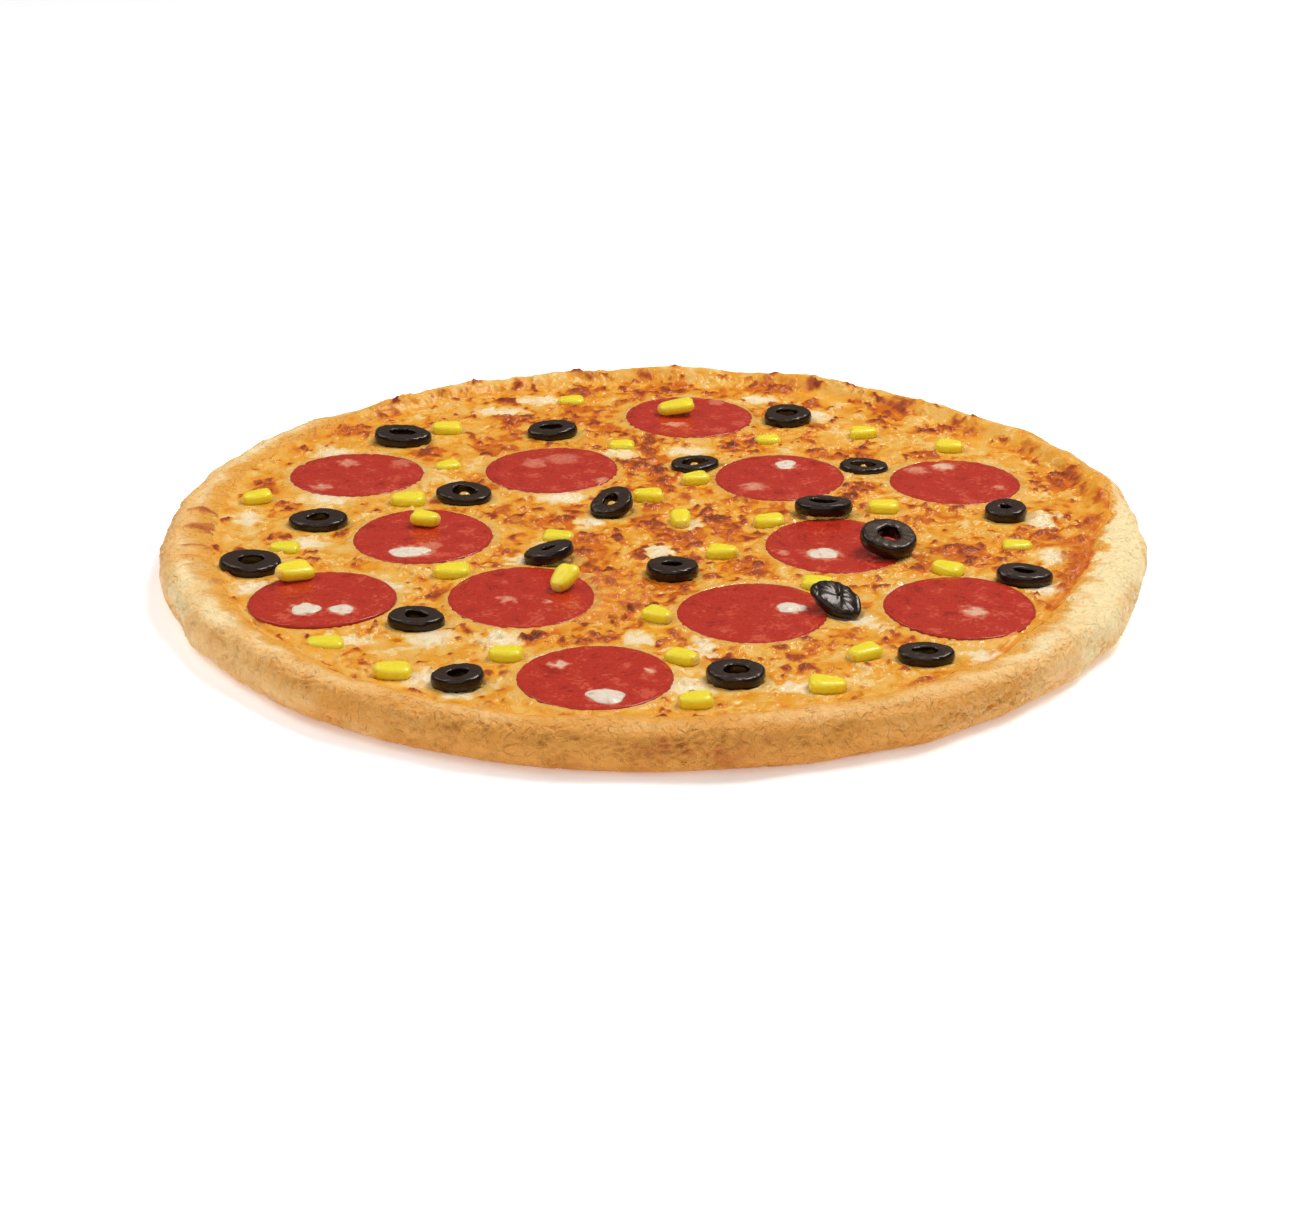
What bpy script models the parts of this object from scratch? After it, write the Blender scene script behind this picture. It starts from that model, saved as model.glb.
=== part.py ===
"""Whole round pizza: risen dough base, tomato sauce, melted cheese, and slices, rings and kernels on top.

Metres, +Z up. The origin is the centre of the flat underside; -Y is the side nearest the viewer.
"""

import math

import bmesh
import bpy
from mathutils import Matrix, Vector, noise
from mathutils.bvhtree import BVHTree

MM = 0.001

# Driving dimensions of the whole pizza (RIM_SWEEP: degrees that the rim rounds under from its crest)
PIZZA_RADIUS = 140 * MM
RIM_HEIGHT = 12.6 * MM
DOUGH_FLOOR = 5.0 * MM
RIM_OUTER_HALF = 6.5 * MM
RIM_INNER_SLOPE = 11.5 * MM
RIM_ROUNDNESS = 0.8
RIM_SWEEP = 170
RIM_LUMP = 0.9 * MM
UNDERSIDE_INSET = 1.0 * MM
LAYER_GAP = 0.3 * MM
SAUCE_THICKNESS = 1.1 * MM
CHEESE_LEVEL = 9.1 * MM
CHEESE_EDGE_RISE = 1.1 * MM
CHEESE_RELIEF = 0.75 * MM
CHEESE_EDGE_START = 0.93
EDGE_CLEARANCE = 0.8 * MM

# Driving dimensions of the toppings
SLICE_THICKNESS = 1.5 * MM
SLICE_CUP = 0.5 * MM
SLICE_WOBBLE = 0.012
OLIVE_WOBBLE = 0.03
OLIVE_HOLE_SHARE = 0.38
KERNEL_THICKNESS = 4.0 * MM
KERNEL_WIDTH_SHARE = 0.80
KERNEL_BLUNTNESS = 0.65
KERNEL_TAPER = 0.42
SUNK_RISE = 0.9 * MM

# Cut of an olive ring, from the hole round the outer skin: share of its width, share of half its thickness
OLIVE_PROFILE = (
    (OLIVE_HOLE_SHARE / 2, -0.8),
    (OLIVE_HOLE_SHARE / 2 + 0.02, 0.85),
    (0.34, 1.0),
    (0.49, 0.55),
    (0.50, -0.5),
    (0.40, -1.0),
)

# Shares of the radius where the uneven outline starts to stretch the layers and where it does so fully
WARP_START = 0.45
WARP_FULL = 0.95

# Lumps of dough and of cheese, in waves a metre
COARSE_DOUGH = 55
FINE_DOUGH = 130
COARSE_CHEESE = 70
FINE_CHEESE = 140

# Bands in which the cheese comes up again round a topping, inside and outside its edge
DIP_INSIDE = 1 * MM
DIP_OUTSIDE = 5 * MM

# Distances for merging doubled points and between the rays that rest one piece on another
MERGE = 0.01 * MM
RAY_STEP = 0.5 * MM

# Mesh resolution
RIM_STEPS = 72
RIM_ARC_POINTS = 7
SLOPE_POINTS = 4
CHEESE_CELLS = 36
SLICE_SIDES = 24
OLIVE_SIDES = 14
KERNEL_SIDES = 8
KERNEL_RINGS = 6

# Colours of the real materials, linear RGB, then roughness
MATERIALS = {
    "baked_dough": ((0.72, 0.42, 0.16), 0.75),
    "tomato_sauce": ((0.45, 0.07, 0.02), 0.35),
    "melted_cheese": ((0.83, 0.50, 0.16), 0.35),
    "salami": ((0.52, 0.05, 0.03), 0.35),
    "black_olive": ((0.02, 0.016, 0.015), 0.2),
    "sweetcorn": ((0.90, 0.58, 0.03), 0.3),
}

# Bulges of the outline: clock angle in degrees, how far out in mm, half-width in degrees
OUTLINE_BULGES = (
    (18, 1.5, 13),
    (45, -0.9, 9),
    (75, 0.4, 14),
    (132, -0.6, 12),
    (156, 1.0, 11),
    (210, -0.5, 12),
    (-20, -1.1, 14),
    (-63, 1.3, 12),
    (-105, 0.5, 14),
)

# Each slice: x, y, width along X, depth along Y, all in mm, and its turn in degrees
SLICES = (
    (-89.0, 40.1, 39.8, 36.5, 8),
    (-65.3, -9.8, 40.0, 40.5, -12),
    (-88.7, -56.2, 39.6, 37.0, 15),
    (-35.3, -53.2, 39.5, 42.0, -5),
    (-14.5, -105.0, 40.2, 38.0, 0),
    (-30.5, 44.2, 39.6, 39.0, 20),
    (11.1, 92.1, 40.6, 38.0, -8),
    (37.6, 37.6, 38.8, 38.5, 5),
    (89.6, 33.9, 38.4, 37.5, -14),
    (51.0, -16.5, 39.6, 41.0, 10),
    (26.4, -63.8, 40.0, 40.5, -6),
    (81.6, -60.8, 39.8, 42.0, 12),
)

# Each olive ring: x, y, width, depth, thickness in mm, turn, then the tilt about X and about Y, in degrees
OLIVES = (
    (-77.9, 71.5, 17.4, 13.8, 3.4, -4, 2, 3),
    (-31.7, 77.6, 15.8, 12.6, 3.0, 6, 2, -4),
    (42.3, 90.4, 15.6, 13.6, 3.2, 15, 4, 0),
    (-55.5, 22.3, 16.4, 14.0, 2.8, -10, 3, 2),
    (-96.0, 1.3, 16.8, 13.4, 2.8, 0, 2, -2),
    (-12.0, 11.5, 13.6, 12.0, 3.2, 50, 16, -14),
    (12.4, 48.6, 15.0, 11.6, 2.2, 5, 0, -2),
    (63.4, 46.8, 14.4, 10.8, 2.0, -3, 2, 2),
    (49.2, 9.0, 16.8, 14.2, 3.4, 0, -7, 0),
    (101.7, 7.4, 12.6, 11.6, 3.4, 0, 3, -3),
    (65.5, -21.5, 16.0, 15.2, 4.0, -20, 13, 7),
    (-111.0, -32.0, 16.8, 14.6, 3.2, 0, 3, 3),
    (-29.0, -25.6, 14.4, 12.4, 3.2, 20, -4, -13),
    (5.1, -35.8, 15.0, 13.0, 3.6, -6, -2, 0),
    (101.0, -40.6, 15.4, 11.6, 3.4, -8, 0, 3),
    (-62.4, -69.7, 14.8, 12.6, 3.2, 0, 0, 2),
    (48.6, -61.8, 15.2, 11.4, 3.2, -24, 22, 17),
    (-48.9, -107.4, 14.0, 11.6, 3.2, 2, 0, -3),
    (20.7, -104.9, 14.8, 13.0, 3.4, -2, 3, 2),
    (69.5, -92.4, 14.6, 11.0, 3.0, 0, 2, 0),
)

# Each loose kernel: x, y, length in mm, heading of the wide crown, tilt about X and about Y in degrees
KERNELS = (
    (-116.0, 19.8, 9.4, 20, 0, -6),
    (-97.6, -42.6, 10.6, 30, 12, 10),
    (-71.8, 18.6, 10.6, 4, 0, 0),
    (-65.1, -1.3, 8.8, 168, 0, 5),
    (-64.6, 80.4, 10.0, 2, 0, 0),
    (-55.4, -36.1, 10.6, 10, 0, 0),
    (-66.0, -102.0, 10.2, 8, 0, 3),
    (-1.6, 21.8, 9.4, 5, 0, 0),
    (12.4, 35.6, 9.0, 24, 0, 0),
    (7.8, 2.4, 8.6, 95, 10, 0),
    (7.2, 95.1, 12.0, 6, 0, -9),
    (19.2, -22.3, 9.2, 170, 0, 0),
    (-24.2, -47.4, 9.4, 62, 24, -12),
    (33.0, 1.2, 9.4, 10, 3, 0),
    (65.4, 76.2, 9.0, 178, 0, 0),
    (90.9, 63.7, 9.4, 165, 0, 0),
    (66.7, 12.5, 9.6, 0, 0, 0),
    (80.8, -34.6, 9.6, -32, 0, 0),
    (44.6, -45.0, 9.6, 175, 0, 0),
    (53.9, -90.4, 9.8, 30, 0, -4),
    (43.5, -110.4, 10.0, 176, 0, 4),
    (10.4, -119.4, 9.2, 6, 0, -3),
    (7.4, -93.6, 9.2, 150, 0, 0),
    (1.2, -66.4, 9.2, 140, 0, 0),
    (-37.8, -91.6, 9.2, 0, 0, 0),
)

# Kernels sunk in the cheese and fused with it: x, y, length in mm, heading in degrees
SUNK_KERNELS = (
    (-103.5, -17.0, 9.0, 0),
    (-62.3, 48.8, 8.6, 30),
    (-85.1, -82.6, 10.4, 4),
    (-26.6, 109.0, 9.0, 10),
    (-9.8, 67.0, 8.6, 0),
    (-27.0, -8.4, 9.6, 170),
    (35.3, 72.0, 8.6, 15),
    (102.3, -15.6, 8.8, 178),
)


def smooth(low, high, value):
    """0 below low, 1 above high, and a smooth step between."""
    t = min(1.0, max(0.0, (value - low) / (high - low)))
    return t * t * (3 - 2 * t)


def outline_bulge(angle):
    """How far the outline stands out of a true circle at a clock angle in radians, in metres."""
    total = 0.0
    for centre, out, half_width in OUTLINE_BULGES:
        away = (math.degrees(angle) - centre + 180) % 360 - 180
        total += out * MM * math.exp(-((away / half_width) ** 2))
    return total


def warp(point):
    """Carries a point of the true round pizza to the uneven hand-shaped one; all layers go through it."""
    radius = math.hypot(point.x, point.y)
    angle = math.atan2(point.y, point.x)
    share = smooth(WARP_START * PIZZA_RADIUS, WARP_FULL * PIZZA_RADIUS, radius)
    stretch = 1 + share * outline_bulge(angle) / PIZZA_RADIUS
    return Vector((point.x * stretch, point.y * stretch, point.z))


def slope_radius(height):
    """Radius of the rim's inner slope at a height, an S curve from the floor up to the crest."""
    rise = (height - DOUGH_FLOOR) / (RIM_HEIGHT - DOUGH_FLOOR)
    along = math.acos(2 * min(1.0, max(0.0, rise)) - 1) / math.pi
    return PIZZA_RADIUS - RIM_OUTER_HALF - RIM_INNER_SLOPE * along


def make_material(name):
    colour, roughness = MATERIALS[name]
    material = bpy.data.materials.new(name)
    material.use_nodes = True
    shader = material.node_tree.nodes["Principled BSDF"]
    shader.inputs["Base Color"].default_value = (*colour, 1)
    shader.inputs["Roughness"].default_value = roughness
    shader.inputs["Metallic"].default_value = 0
    return material


def add_object(name, mesh, collection, material=None):
    made = bpy.data.objects.new(name, mesh)
    collection.objects.link(made)
    if material:
        mesh.materials.clear()
        mesh.materials.append(material)
    return made


def mesh_from(bm, name):
    bmesh.ops.recalc_face_normals(bm, faces=bm.faces)
    mesh = bpy.data.meshes.new(name)
    bm.to_mesh(mesh)
    bm.free()
    mesh.shade_smooth()
    return mesh


def evaluated_mesh(made):
    """The object's mesh with its modifiers applied."""
    graph = bpy.context.evaluated_depsgraph_get()
    return bpy.data.meshes.new_from_object(made.evaluated_get(graph))


def turned(name, profile, steps, collection):
    """A profile of (radius, height) pairs turned about Z by a Screw modifier, as a closed mesh."""
    mesh = bpy.data.meshes.new(name)
    corners = [(radius, 0, height) for radius, height in profile]
    mesh.from_pydata(corners, [(i, i + 1) for i in range(len(corners) - 1)], [])
    spun = add_object(name, mesh, collection)
    screw = spun.modifiers.new("turn", "SCREW")
    screw.axis = "Z"
    screw.steps = steps
    screw.render_steps = steps
    screw.use_merge_vertices = True
    screw.merge_threshold = MERGE
    bpy.context.view_layer.update()
    bm = bmesh.new()
    bm.from_mesh(evaluated_mesh(spun))
    bpy.data.objects.remove(spun)
    bmesh.ops.remove_doubles(bm, verts=bm.verts, dist=MERGE)
    return bm


def make_crust(collection, material):
    """Dough disc with a risen rim: an S slope inside, a rounded crest and side, and a flat underside."""
    profile = [(0, DOUGH_FLOOR)]
    for i in range(SLOPE_POINTS + 1):
        along = 1 - i / (SLOPE_POINTS + 1)
        height = DOUGH_FLOOR + (RIM_HEIGHT - DOUGH_FLOOR) * 0.5 * (1 + math.cos(math.pi * along))
        profile.append((PIZZA_RADIUS - RIM_OUTER_HALF - RIM_INNER_SLOPE * along, height))
    crest = PIZZA_RADIUS - RIM_OUTER_HALF
    for i in range(RIM_ARC_POINTS):
        angle = math.radians(90 - i * RIM_SWEEP / (RIM_ARC_POINTS - 1))
        out = RIM_OUTER_HALF * math.cos(angle) ** RIM_ROUNDNESS
        up = math.copysign(abs(math.sin(angle)) ** RIM_ROUNDNESS, angle) * RIM_HEIGHT / 2
        profile.append((crest + out, RIM_HEIGHT / 2 + up))
    profile += [(crest - UNDERSIDE_INSET, 0), (0, 0)]
    bm = turned("crust", profile, RIM_STEPS, collection)
    for vert in bm.verts:
        radius = math.hypot(vert.co.x, vert.co.y)
        if radius > crest - 3 * MM and vert.co.z > 1 * MM:
            lump = noise.noise(vert.co * COARSE_DOUGH) + 0.5 * noise.noise(vert.co * FINE_DOUGH)
            vert.co.z += lump * RIM_LUMP * smooth(1 * MM, RIM_HEIGHT, vert.co.z)
            vert.co.x *= 1 + lump * RIM_LUMP / 2 / PIZZA_RADIUS
            vert.co.y *= 1 + lump * RIM_LUMP / 2 / PIZZA_RADIUS
        vert.co = warp(vert.co)
    return add_object("crust", mesh_from(bm, "crust"), collection, material)


def make_sauce(collection, material):
    """Thin layer of sauce on the dough floor, out to the rim's slope."""
    low = DOUGH_FLOOR + LAYER_GAP
    high = low + SAUCE_THICKNESS
    profile = [
        (0, high),
        (slope_radius(high) - EDGE_CLEARANCE, high),
        (slope_radius(low) - EDGE_CLEARANCE, low),
        (0, low),
    ]
    bm = turned("sauce", profile, RIM_STEPS, collection)
    for vert in bm.verts:
        vert.co = warp(vert.co)
    return add_object("sauce", mesh_from(bm, "sauce"), collection, material)


def topping_share(x, y):
    """0 under a topping and 1 well away from all of them, so that the cheese dips where a topping lies."""
    share = 1.0
    for spot in SLICES + OLIVES + KERNELS:
        from_edge = math.hypot(x - spot[0] * MM, y - spot[1] * MM) - spot[2] * MM / 2
        share = min(share, smooth(-DIP_INSIDE, DIP_OUTSIDE, from_edge))
    return share


def cheese_height(x, y):
    """Height of the melted cheese: clumps of shreds, lower under the toppings, climbing the rim's slope."""
    flat = Vector((x, y, 0))
    lump = noise.noise(flat * COARSE_CHEESE) + 0.6 * noise.noise(flat * FINE_CHEESE)
    edge = smooth(CHEESE_EDGE_START, 1.0, math.hypot(x, y) / slope_radius(CHEESE_LEVEL))
    relief = CHEESE_RELIEF * (0.35 + 1.2 * lump) * topping_share(x, y)
    return CHEESE_LEVEL + relief * (1 - edge) + CHEESE_EDGE_RISE * edge


def make_cheese(collection, material, kernel_mesh):
    """Melted cheese: a round sheet whose top is a grid carried from a square to a circle."""
    bottom = DOUGH_FLOOR + 2 * LAYER_GAP + SAUCE_THICKNESS
    top_radius = slope_radius(CHEESE_LEVEL + CHEESE_EDGE_RISE) - EDGE_CLEARANCE
    bottom_radius = slope_radius(bottom) - EDGE_CLEARANCE
    bm = bmesh.new()
    bmesh.ops.create_grid(bm, x_segments=CHEESE_CELLS, y_segments=CHEESE_CELLS, size=1)
    for vert in bm.verts:
        u, v = vert.co.x, vert.co.y
        x = top_radius * u * math.sqrt(1 - v * v / 2)
        y = top_radius * v * math.sqrt(1 - u * u / 2)
        vert.co = Vector((x, y, cheese_height(x, y)))
    border = [edge for edge in bm.edges if edge.is_boundary]
    wall = bmesh.ops.extrude_edge_only(bm, edges=border)["geom"]
    foot_verts = [item for item in wall if isinstance(item, bmesh.types.BMVert)]
    foot_edges = [item for item in wall if isinstance(item, bmesh.types.BMEdge) and item.is_boundary]
    for vert in foot_verts:
        vert.co.x *= bottom_radius / top_radius
        vert.co.y *= bottom_radius / top_radius
        vert.co.z = bottom
    bmesh.ops.edgeloop_fill(bm, edges=foot_edges)
    for vert in bm.verts:
        vert.co = warp(vert.co)
    bmesh.ops.triangulate(bm, faces=bm.faces)
    cheese = add_object("cheese", mesh_from(bm, "cheese"), collection, material)
    return fuse_sunk_kernels(cheese, collection, material, kernel_mesh)


def fuse_sunk_kernels(cheese, collection, material, kernel_mesh):
    """Joins the kernels that are sunk in the cheese to it, so that the cheese stays one solid."""
    joined = bpy.data.collections.new("sunk_kernels")
    bpy.context.scene.collection.children.link(joined)
    for index, (x, y, length, heading) in enumerate(SUNK_KERNELS):
        kernel = add_object(f"sunk_kernel_{index}", kernel_mesh.copy(), joined)
        height = cheese_height(x * MM, y * MM) + SUNK_RISE
        kernel.data.transform(place(x, y, height, heading, 0, 0) @ kernel_size(length))
    union = cheese.modifiers.new("join_kernels", "BOOLEAN")
    union.operation = "UNION"
    union.operand_type = "COLLECTION"
    union.collection = joined
    union.solver = "EXACT"
    bpy.context.view_layer.update()
    cheese_mesh = evaluated_mesh(cheese)
    for kernel in list(joined.objects):
        bpy.data.objects.remove(kernel)
    bpy.data.collections.remove(joined)
    bpy.data.objects.remove(cheese)
    return add_object("cheese", cheese_mesh, collection, material)


def place(x, y, z, turn, tilt_x, tilt_y):
    """Matrix that turns a piece about Z, tilts it, and sets it at x and y in mm and a height in metres."""
    tilt = Matrix.Rotation(math.radians(tilt_x), 4, "X") @ Matrix.Rotation(math.radians(tilt_y), 4, "Y")
    return Matrix.Translation((x * MM, y * MM, z)) @ tilt @ Matrix.Rotation(math.radians(turn), 4, "Z")


def make_slice_mesh(index, width, depth):
    """Thin round slice with an uneven edge, a little cupped: the middle lies lower than the edge."""
    bm = bmesh.new()
    bmesh.ops.create_cone(
        bm, cap_ends=True, segments=SLICE_SIDES, radius1=0.5, radius2=0.5, depth=SLICE_THICKNESS
    )
    caps = [face for face in bm.faces if len(face.verts) > 4]
    bmesh.ops.inset_region(bm, faces=caps, thickness=0.2)
    for vert in bm.verts:
        angle = math.atan2(vert.co.y, vert.co.x)
        share = math.hypot(vert.co.x, vert.co.y) / 0.5
        wobble = 1 + SLICE_WOBBLE * (math.sin(3 * angle + index) + math.sin(2 * angle + 2.3 * index))
        vert.co.x *= width * MM * wobble
        vert.co.y *= depth * MM * wobble
        vert.co.z += SLICE_CUP * share**4 * (0.6 + 0.4 * math.sin(2 * angle + index))
    return mesh_from(bm, f"slice_{index}")


def make_olive_mesh(index, width, depth, thickness, collection):
    """Ring cut from a pitted olive: a bulged outer skin, flat cut faces and an oval hole."""
    profile = [(radius, height * thickness * MM / 2) for radius, height in OLIVE_PROFILE]
    bm = turned(f"olive_{index}", profile + profile[:1], OLIVE_SIDES, collection)
    for vert in bm.verts:
        angle = math.atan2(vert.co.y, vert.co.x)
        wobble = 1 + OLIVE_WOBBLE * math.sin(2 * angle + 1.7 * index)
        vert.co.x *= width * MM * wobble
        vert.co.y *= depth * MM * wobble
    return mesh_from(bm, f"olive_{index}")


def make_kernel_mesh():
    """Corn kernel one unit long: a flattened wedge with a wide crown at +X and a narrow tip at -X."""
    bm = bmesh.new()
    bmesh.ops.create_uvsphere(bm, u_segments=KERNEL_SIDES, v_segments=KERNEL_RINGS, radius=0.5)
    bmesh.ops.rotate(bm, verts=bm.verts, matrix=Matrix.Rotation(math.radians(90), 3, "Y"))
    for vert in bm.verts:
        along = vert.co.x / 0.5
        around = math.hypot(vert.co.y, vert.co.z) / 0.5
        fuller = around ** (KERNEL_BLUNTNESS - 1) if around > 0 else 0
        taper = 1 - KERNEL_TAPER * 0.5 * (1 - along)
        vert.co.x = 0.5 * math.copysign(abs(along) ** KERNEL_BLUNTNESS, along)
        vert.co.y *= fuller * taper * KERNEL_WIDTH_SHARE
        vert.co.z *= fuller * (0.4 + 0.6 * taper)
    return mesh_from(bm, "kernel")


def kernel_size(length):
    return Matrix.Diagonal((length * MM, length * MM, KERNEL_THICKNESS, 1))


def rest_on(piece_mesh, matrix, laid):
    """Lowers a piece on to what is already laid, a small gap above it."""
    piece_mesh.transform(matrix)
    piece_tree = tree_of(piece_mesh)
    xs = [vert.co.x for vert in piece_mesh.vertices]
    ys = [vert.co.y for vert in piece_mesh.vertices]
    lift = -1.0
    down = Vector((0, 0, -1))
    for i in range(int((max(xs) - min(xs)) / RAY_STEP) + 1):
        for j in range(int((max(ys) - min(ys)) / RAY_STEP) + 1):
            at = Vector((min(xs) + i * RAY_STEP, min(ys) + j * RAY_STEP, 0))
            under = piece_tree.ray_cast(at - Vector((0, 0, 1)), -down)[0]
            if under is None:
                continue
            for tree in laid:
                floor = tree.ray_cast(at + Vector((0, 0, 1)), down)[0]
                if floor is not None:
                    lift = max(lift, floor.z - under.z)
    piece_mesh.transform(Matrix.Translation((0, 0, lift + LAYER_GAP)))


def tree_of(mesh):
    bm = bmesh.new()
    bm.from_mesh(mesh)
    tree = BVHTree.FromBMesh(bm)
    bm.free()
    return tree


def lay(name, piece_mesh, matrix, laid, collection, material):
    """Lays a piece on the pizza as its own object and adds it to what is laid."""
    rest_on(piece_mesh, matrix, laid)
    add_object(name, piece_mesh, collection, material)
    laid.append(tree_of(piece_mesh))


def main():
    for old in list(bpy.data.objects):
        bpy.data.objects.remove(old)
    pizza = bpy.data.collections.new("pizza")
    bpy.context.scene.collection.children.link(pizza)
    finish = {name: make_material(name) for name in MATERIALS}

    kernel_mesh = make_kernel_mesh()
    crust = make_crust(pizza, finish["baked_dough"])
    make_sauce(pizza, finish["tomato_sauce"])
    cheese = make_cheese(pizza, finish["melted_cheese"], kernel_mesh)

    laid = [tree_of(crust.data), tree_of(cheese.data)]
    for index, (x, y, width, depth, turn) in enumerate(SLICES, 1):
        mesh = make_slice_mesh(index, width, depth)
        lay(f"salami_{index:02d}", mesh, place(x, y, 0, turn, 0, 0), laid, pizza, finish["salami"])
    for index, (x, y, width, depth, thickness, turn, tilt_x, tilt_y) in enumerate(OLIVES, 1):
        mesh = make_olive_mesh(index, width, depth, thickness, pizza)
        matrix = place(x, y, 0, turn, tilt_x, tilt_y)
        lay(f"olive_{index:02d}", mesh, matrix, laid, pizza, finish["black_olive"])
    for index, (x, y, length, heading, tilt_x, tilt_y) in enumerate(KERNELS, 1):
        matrix = place(x, y, 0, heading, tilt_x, tilt_y) @ kernel_size(length)
        lay(f"corn_{index:02d}", kernel_mesh.copy(), matrix, laid, pizza, finish["sweetcorn"])
    bpy.data.meshes.remove(kernel_mesh)


main()
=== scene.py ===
# Looks of a whole round salami pizza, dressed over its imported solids. Metres, +Z up, front edge towards -Y.
import math

import bpy
import numpy as np
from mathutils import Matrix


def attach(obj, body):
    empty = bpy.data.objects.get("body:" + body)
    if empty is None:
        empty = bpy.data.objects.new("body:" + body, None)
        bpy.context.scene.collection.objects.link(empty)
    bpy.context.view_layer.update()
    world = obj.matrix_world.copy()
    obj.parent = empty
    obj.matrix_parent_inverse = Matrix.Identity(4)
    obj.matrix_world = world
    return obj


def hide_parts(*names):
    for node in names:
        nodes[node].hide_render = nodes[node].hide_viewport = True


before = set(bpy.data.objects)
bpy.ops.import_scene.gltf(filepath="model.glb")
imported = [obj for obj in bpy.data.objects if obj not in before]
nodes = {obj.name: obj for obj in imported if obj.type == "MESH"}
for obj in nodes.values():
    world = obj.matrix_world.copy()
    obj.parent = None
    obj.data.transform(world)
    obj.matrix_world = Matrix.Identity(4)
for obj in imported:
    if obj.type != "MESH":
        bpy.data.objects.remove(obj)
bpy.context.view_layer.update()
mm = 0.001
print("stage: frame loaded with", len(nodes), "solids")

# Camera: fitted to the outline and the slices of the photograph; degrees, metres and lens in mm
cameraLook = {"elevation": 22.3, "distance": 0.80, "lens": 76.87, "shiftX": -0.0019, "shiftY": -0.0361}
camera = bpy.data.objects.new("camera", bpy.data.cameras.new("camera"))
bpy.context.scene.collection.objects.link(camera)
camera.data.lens = cameraLook["lens"]
camera.data.shift_x, camera.data.shift_y = cameraLook["shiftX"], cameraLook["shiftY"]
camera.data.clip_start = 0.01
tilt = math.radians(cameraLook["elevation"])
camera.location = (0, -cameraLook["distance"] * math.cos(tilt), cameraLook["distance"] * math.sin(tilt))
camera.rotation_euler = (math.pi / 2 - tilt, 0, 0)
bpy.context.scene.camera = camera
bpy.context.scene.view_settings.view_transform = "Standard"


def hexToLinear(code):
    # sRGB to linear light: v/12.92 for dark values, ((v + 0.055)/1.055)^2.4 above them
    v = np.array([int(code[i:i + 2], 16) / 255 for i in (1, 3, 5)])
    return (*np.where(v <= 0.04045, v / 12.92, ((v + 0.055) / 1.055) ** 2.4).tolist(), 1.0)


def smoothStep(low, high, value):
    # 0 before low, 1 after high, 3t^2 - 2t^3 between; low may be the larger one
    t = np.clip((value - low) / (high - low), 0, 1)
    return t * t * (3 - 2 * t)


def smoothMax(a, b, width):
    # the larger of two heights, rounded where they cross: half of a + b + sqrt((a - b)^2 + width^2)
    return (a + b + np.sqrt((a - b) ** 2 + width ** 2)) / 2


def rasterNoise(shape, pixel, wave, seed):
    # white noise whose spectrum is kept near one wavelength (rows, columns), so it repeats without a seam;
    # its spread is 1
    spectrum = np.fft.rfft2(np.random.default_rng(seed).standard_normal(shape))
    rows = np.fft.fftfreq(shape[0], pixel[0]) * wave[0]
    columns = np.fft.rfftfreq(shape[1], pixel[1]) * wave[1]
    field = np.fft.irfft2(spectrum * np.exp(-(((np.hypot(rows[:, None], columns) - 1) / 0.5) ** 2)), shape)
    return field / field.std()


def readBetween(field, rows, columns, down, right):
    # a field read between its four nearest points, given as pairs of rows and columns and the shares of the
    # second row and column
    near, far = (field[row, columns[0]] * (1 - right) + field[row, columns[1]] * right for row in rows)
    return near * (1 - down) + far * down


noiseTiles = {}
tileSize, tileWave = 512, 16


def noiseAt(x, y, wave, seed):
    # noise at any x and y in mm: a repeating tile of noise, read between its four nearest points
    if seed not in noiseTiles:
        noiseTiles[seed] = rasterNoise((tileSize, tileSize), (1, 1), (tileWave, tileWave), seed)
    u, v = x / wave * tileWave, y / wave * tileWave
    i, j = np.floor(u).astype(int), np.floor(v).astype(int)
    rows, columns = ((k % tileSize, (k + 1) % tileSize) for k in (i, j))
    return readBetween(noiseTiles[seed], rows, columns, u - i, v - j)


def circleAngles(steps):
    # angles evenly round a circle
    return np.arange(steps) * 2 * np.pi / steps


def atClock(table, angle):
    # a value given in a table at clock angles in degrees, read at any angle in radians
    keys = np.array(table, float)
    return np.interp(np.degrees(angle), keys[:, 0], keys[:, 1], period=360)


def waveFit(angle, value, order):
    # least-squares sum of 1, cos kt and sin kt up to k = order
    terms = [np.ones_like(angle)] + [f(k * angle) for k in range(1, order + 1) for f in (np.cos, np.sin)]
    return np.linalg.lstsq(np.stack(terms, 1), value, rcond=None)[0]


def waveAt(fit, angle):
    # the fitted sum at any angle
    total = np.full(np.shape(angle), fit[0])
    for k in range(1, (len(fit) + 1) // 2):
        total = total + fit[2 * k - 1] * np.cos(k * angle) + fit[2 * k] * np.sin(k * angle)
    return total


def nodePoints(name):
    # a solid's corners in mm, each once
    mesh = nodes[name].data
    corners = np.empty(len(mesh.vertices) * 3, np.float32)
    mesh.vertices.foreach_get("co", corners)
    return np.unique(corners.reshape(-1, 3).astype(float).round(6), axis=0) / mm


def nodeAxes(points):
    # middle, unit axes and half sizes of a solid: the axes are its corners' singular vectors, the thin one up
    middle = points.mean(0)
    axes = np.linalg.svd(points - middle, full_matrices=False)[2]
    axes[2] *= np.sign(axes[2][2])
    axes[0] *= 1 if axes[0][0] >= 0 else -1
    axes[1] = np.cross(axes[2], axes[0])
    along = (points - middle) @ axes.T
    low, high = along.min(0), along.max(0)
    return middle + (low + high) / 2 @ axes, axes, (high - low) / 2


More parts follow.
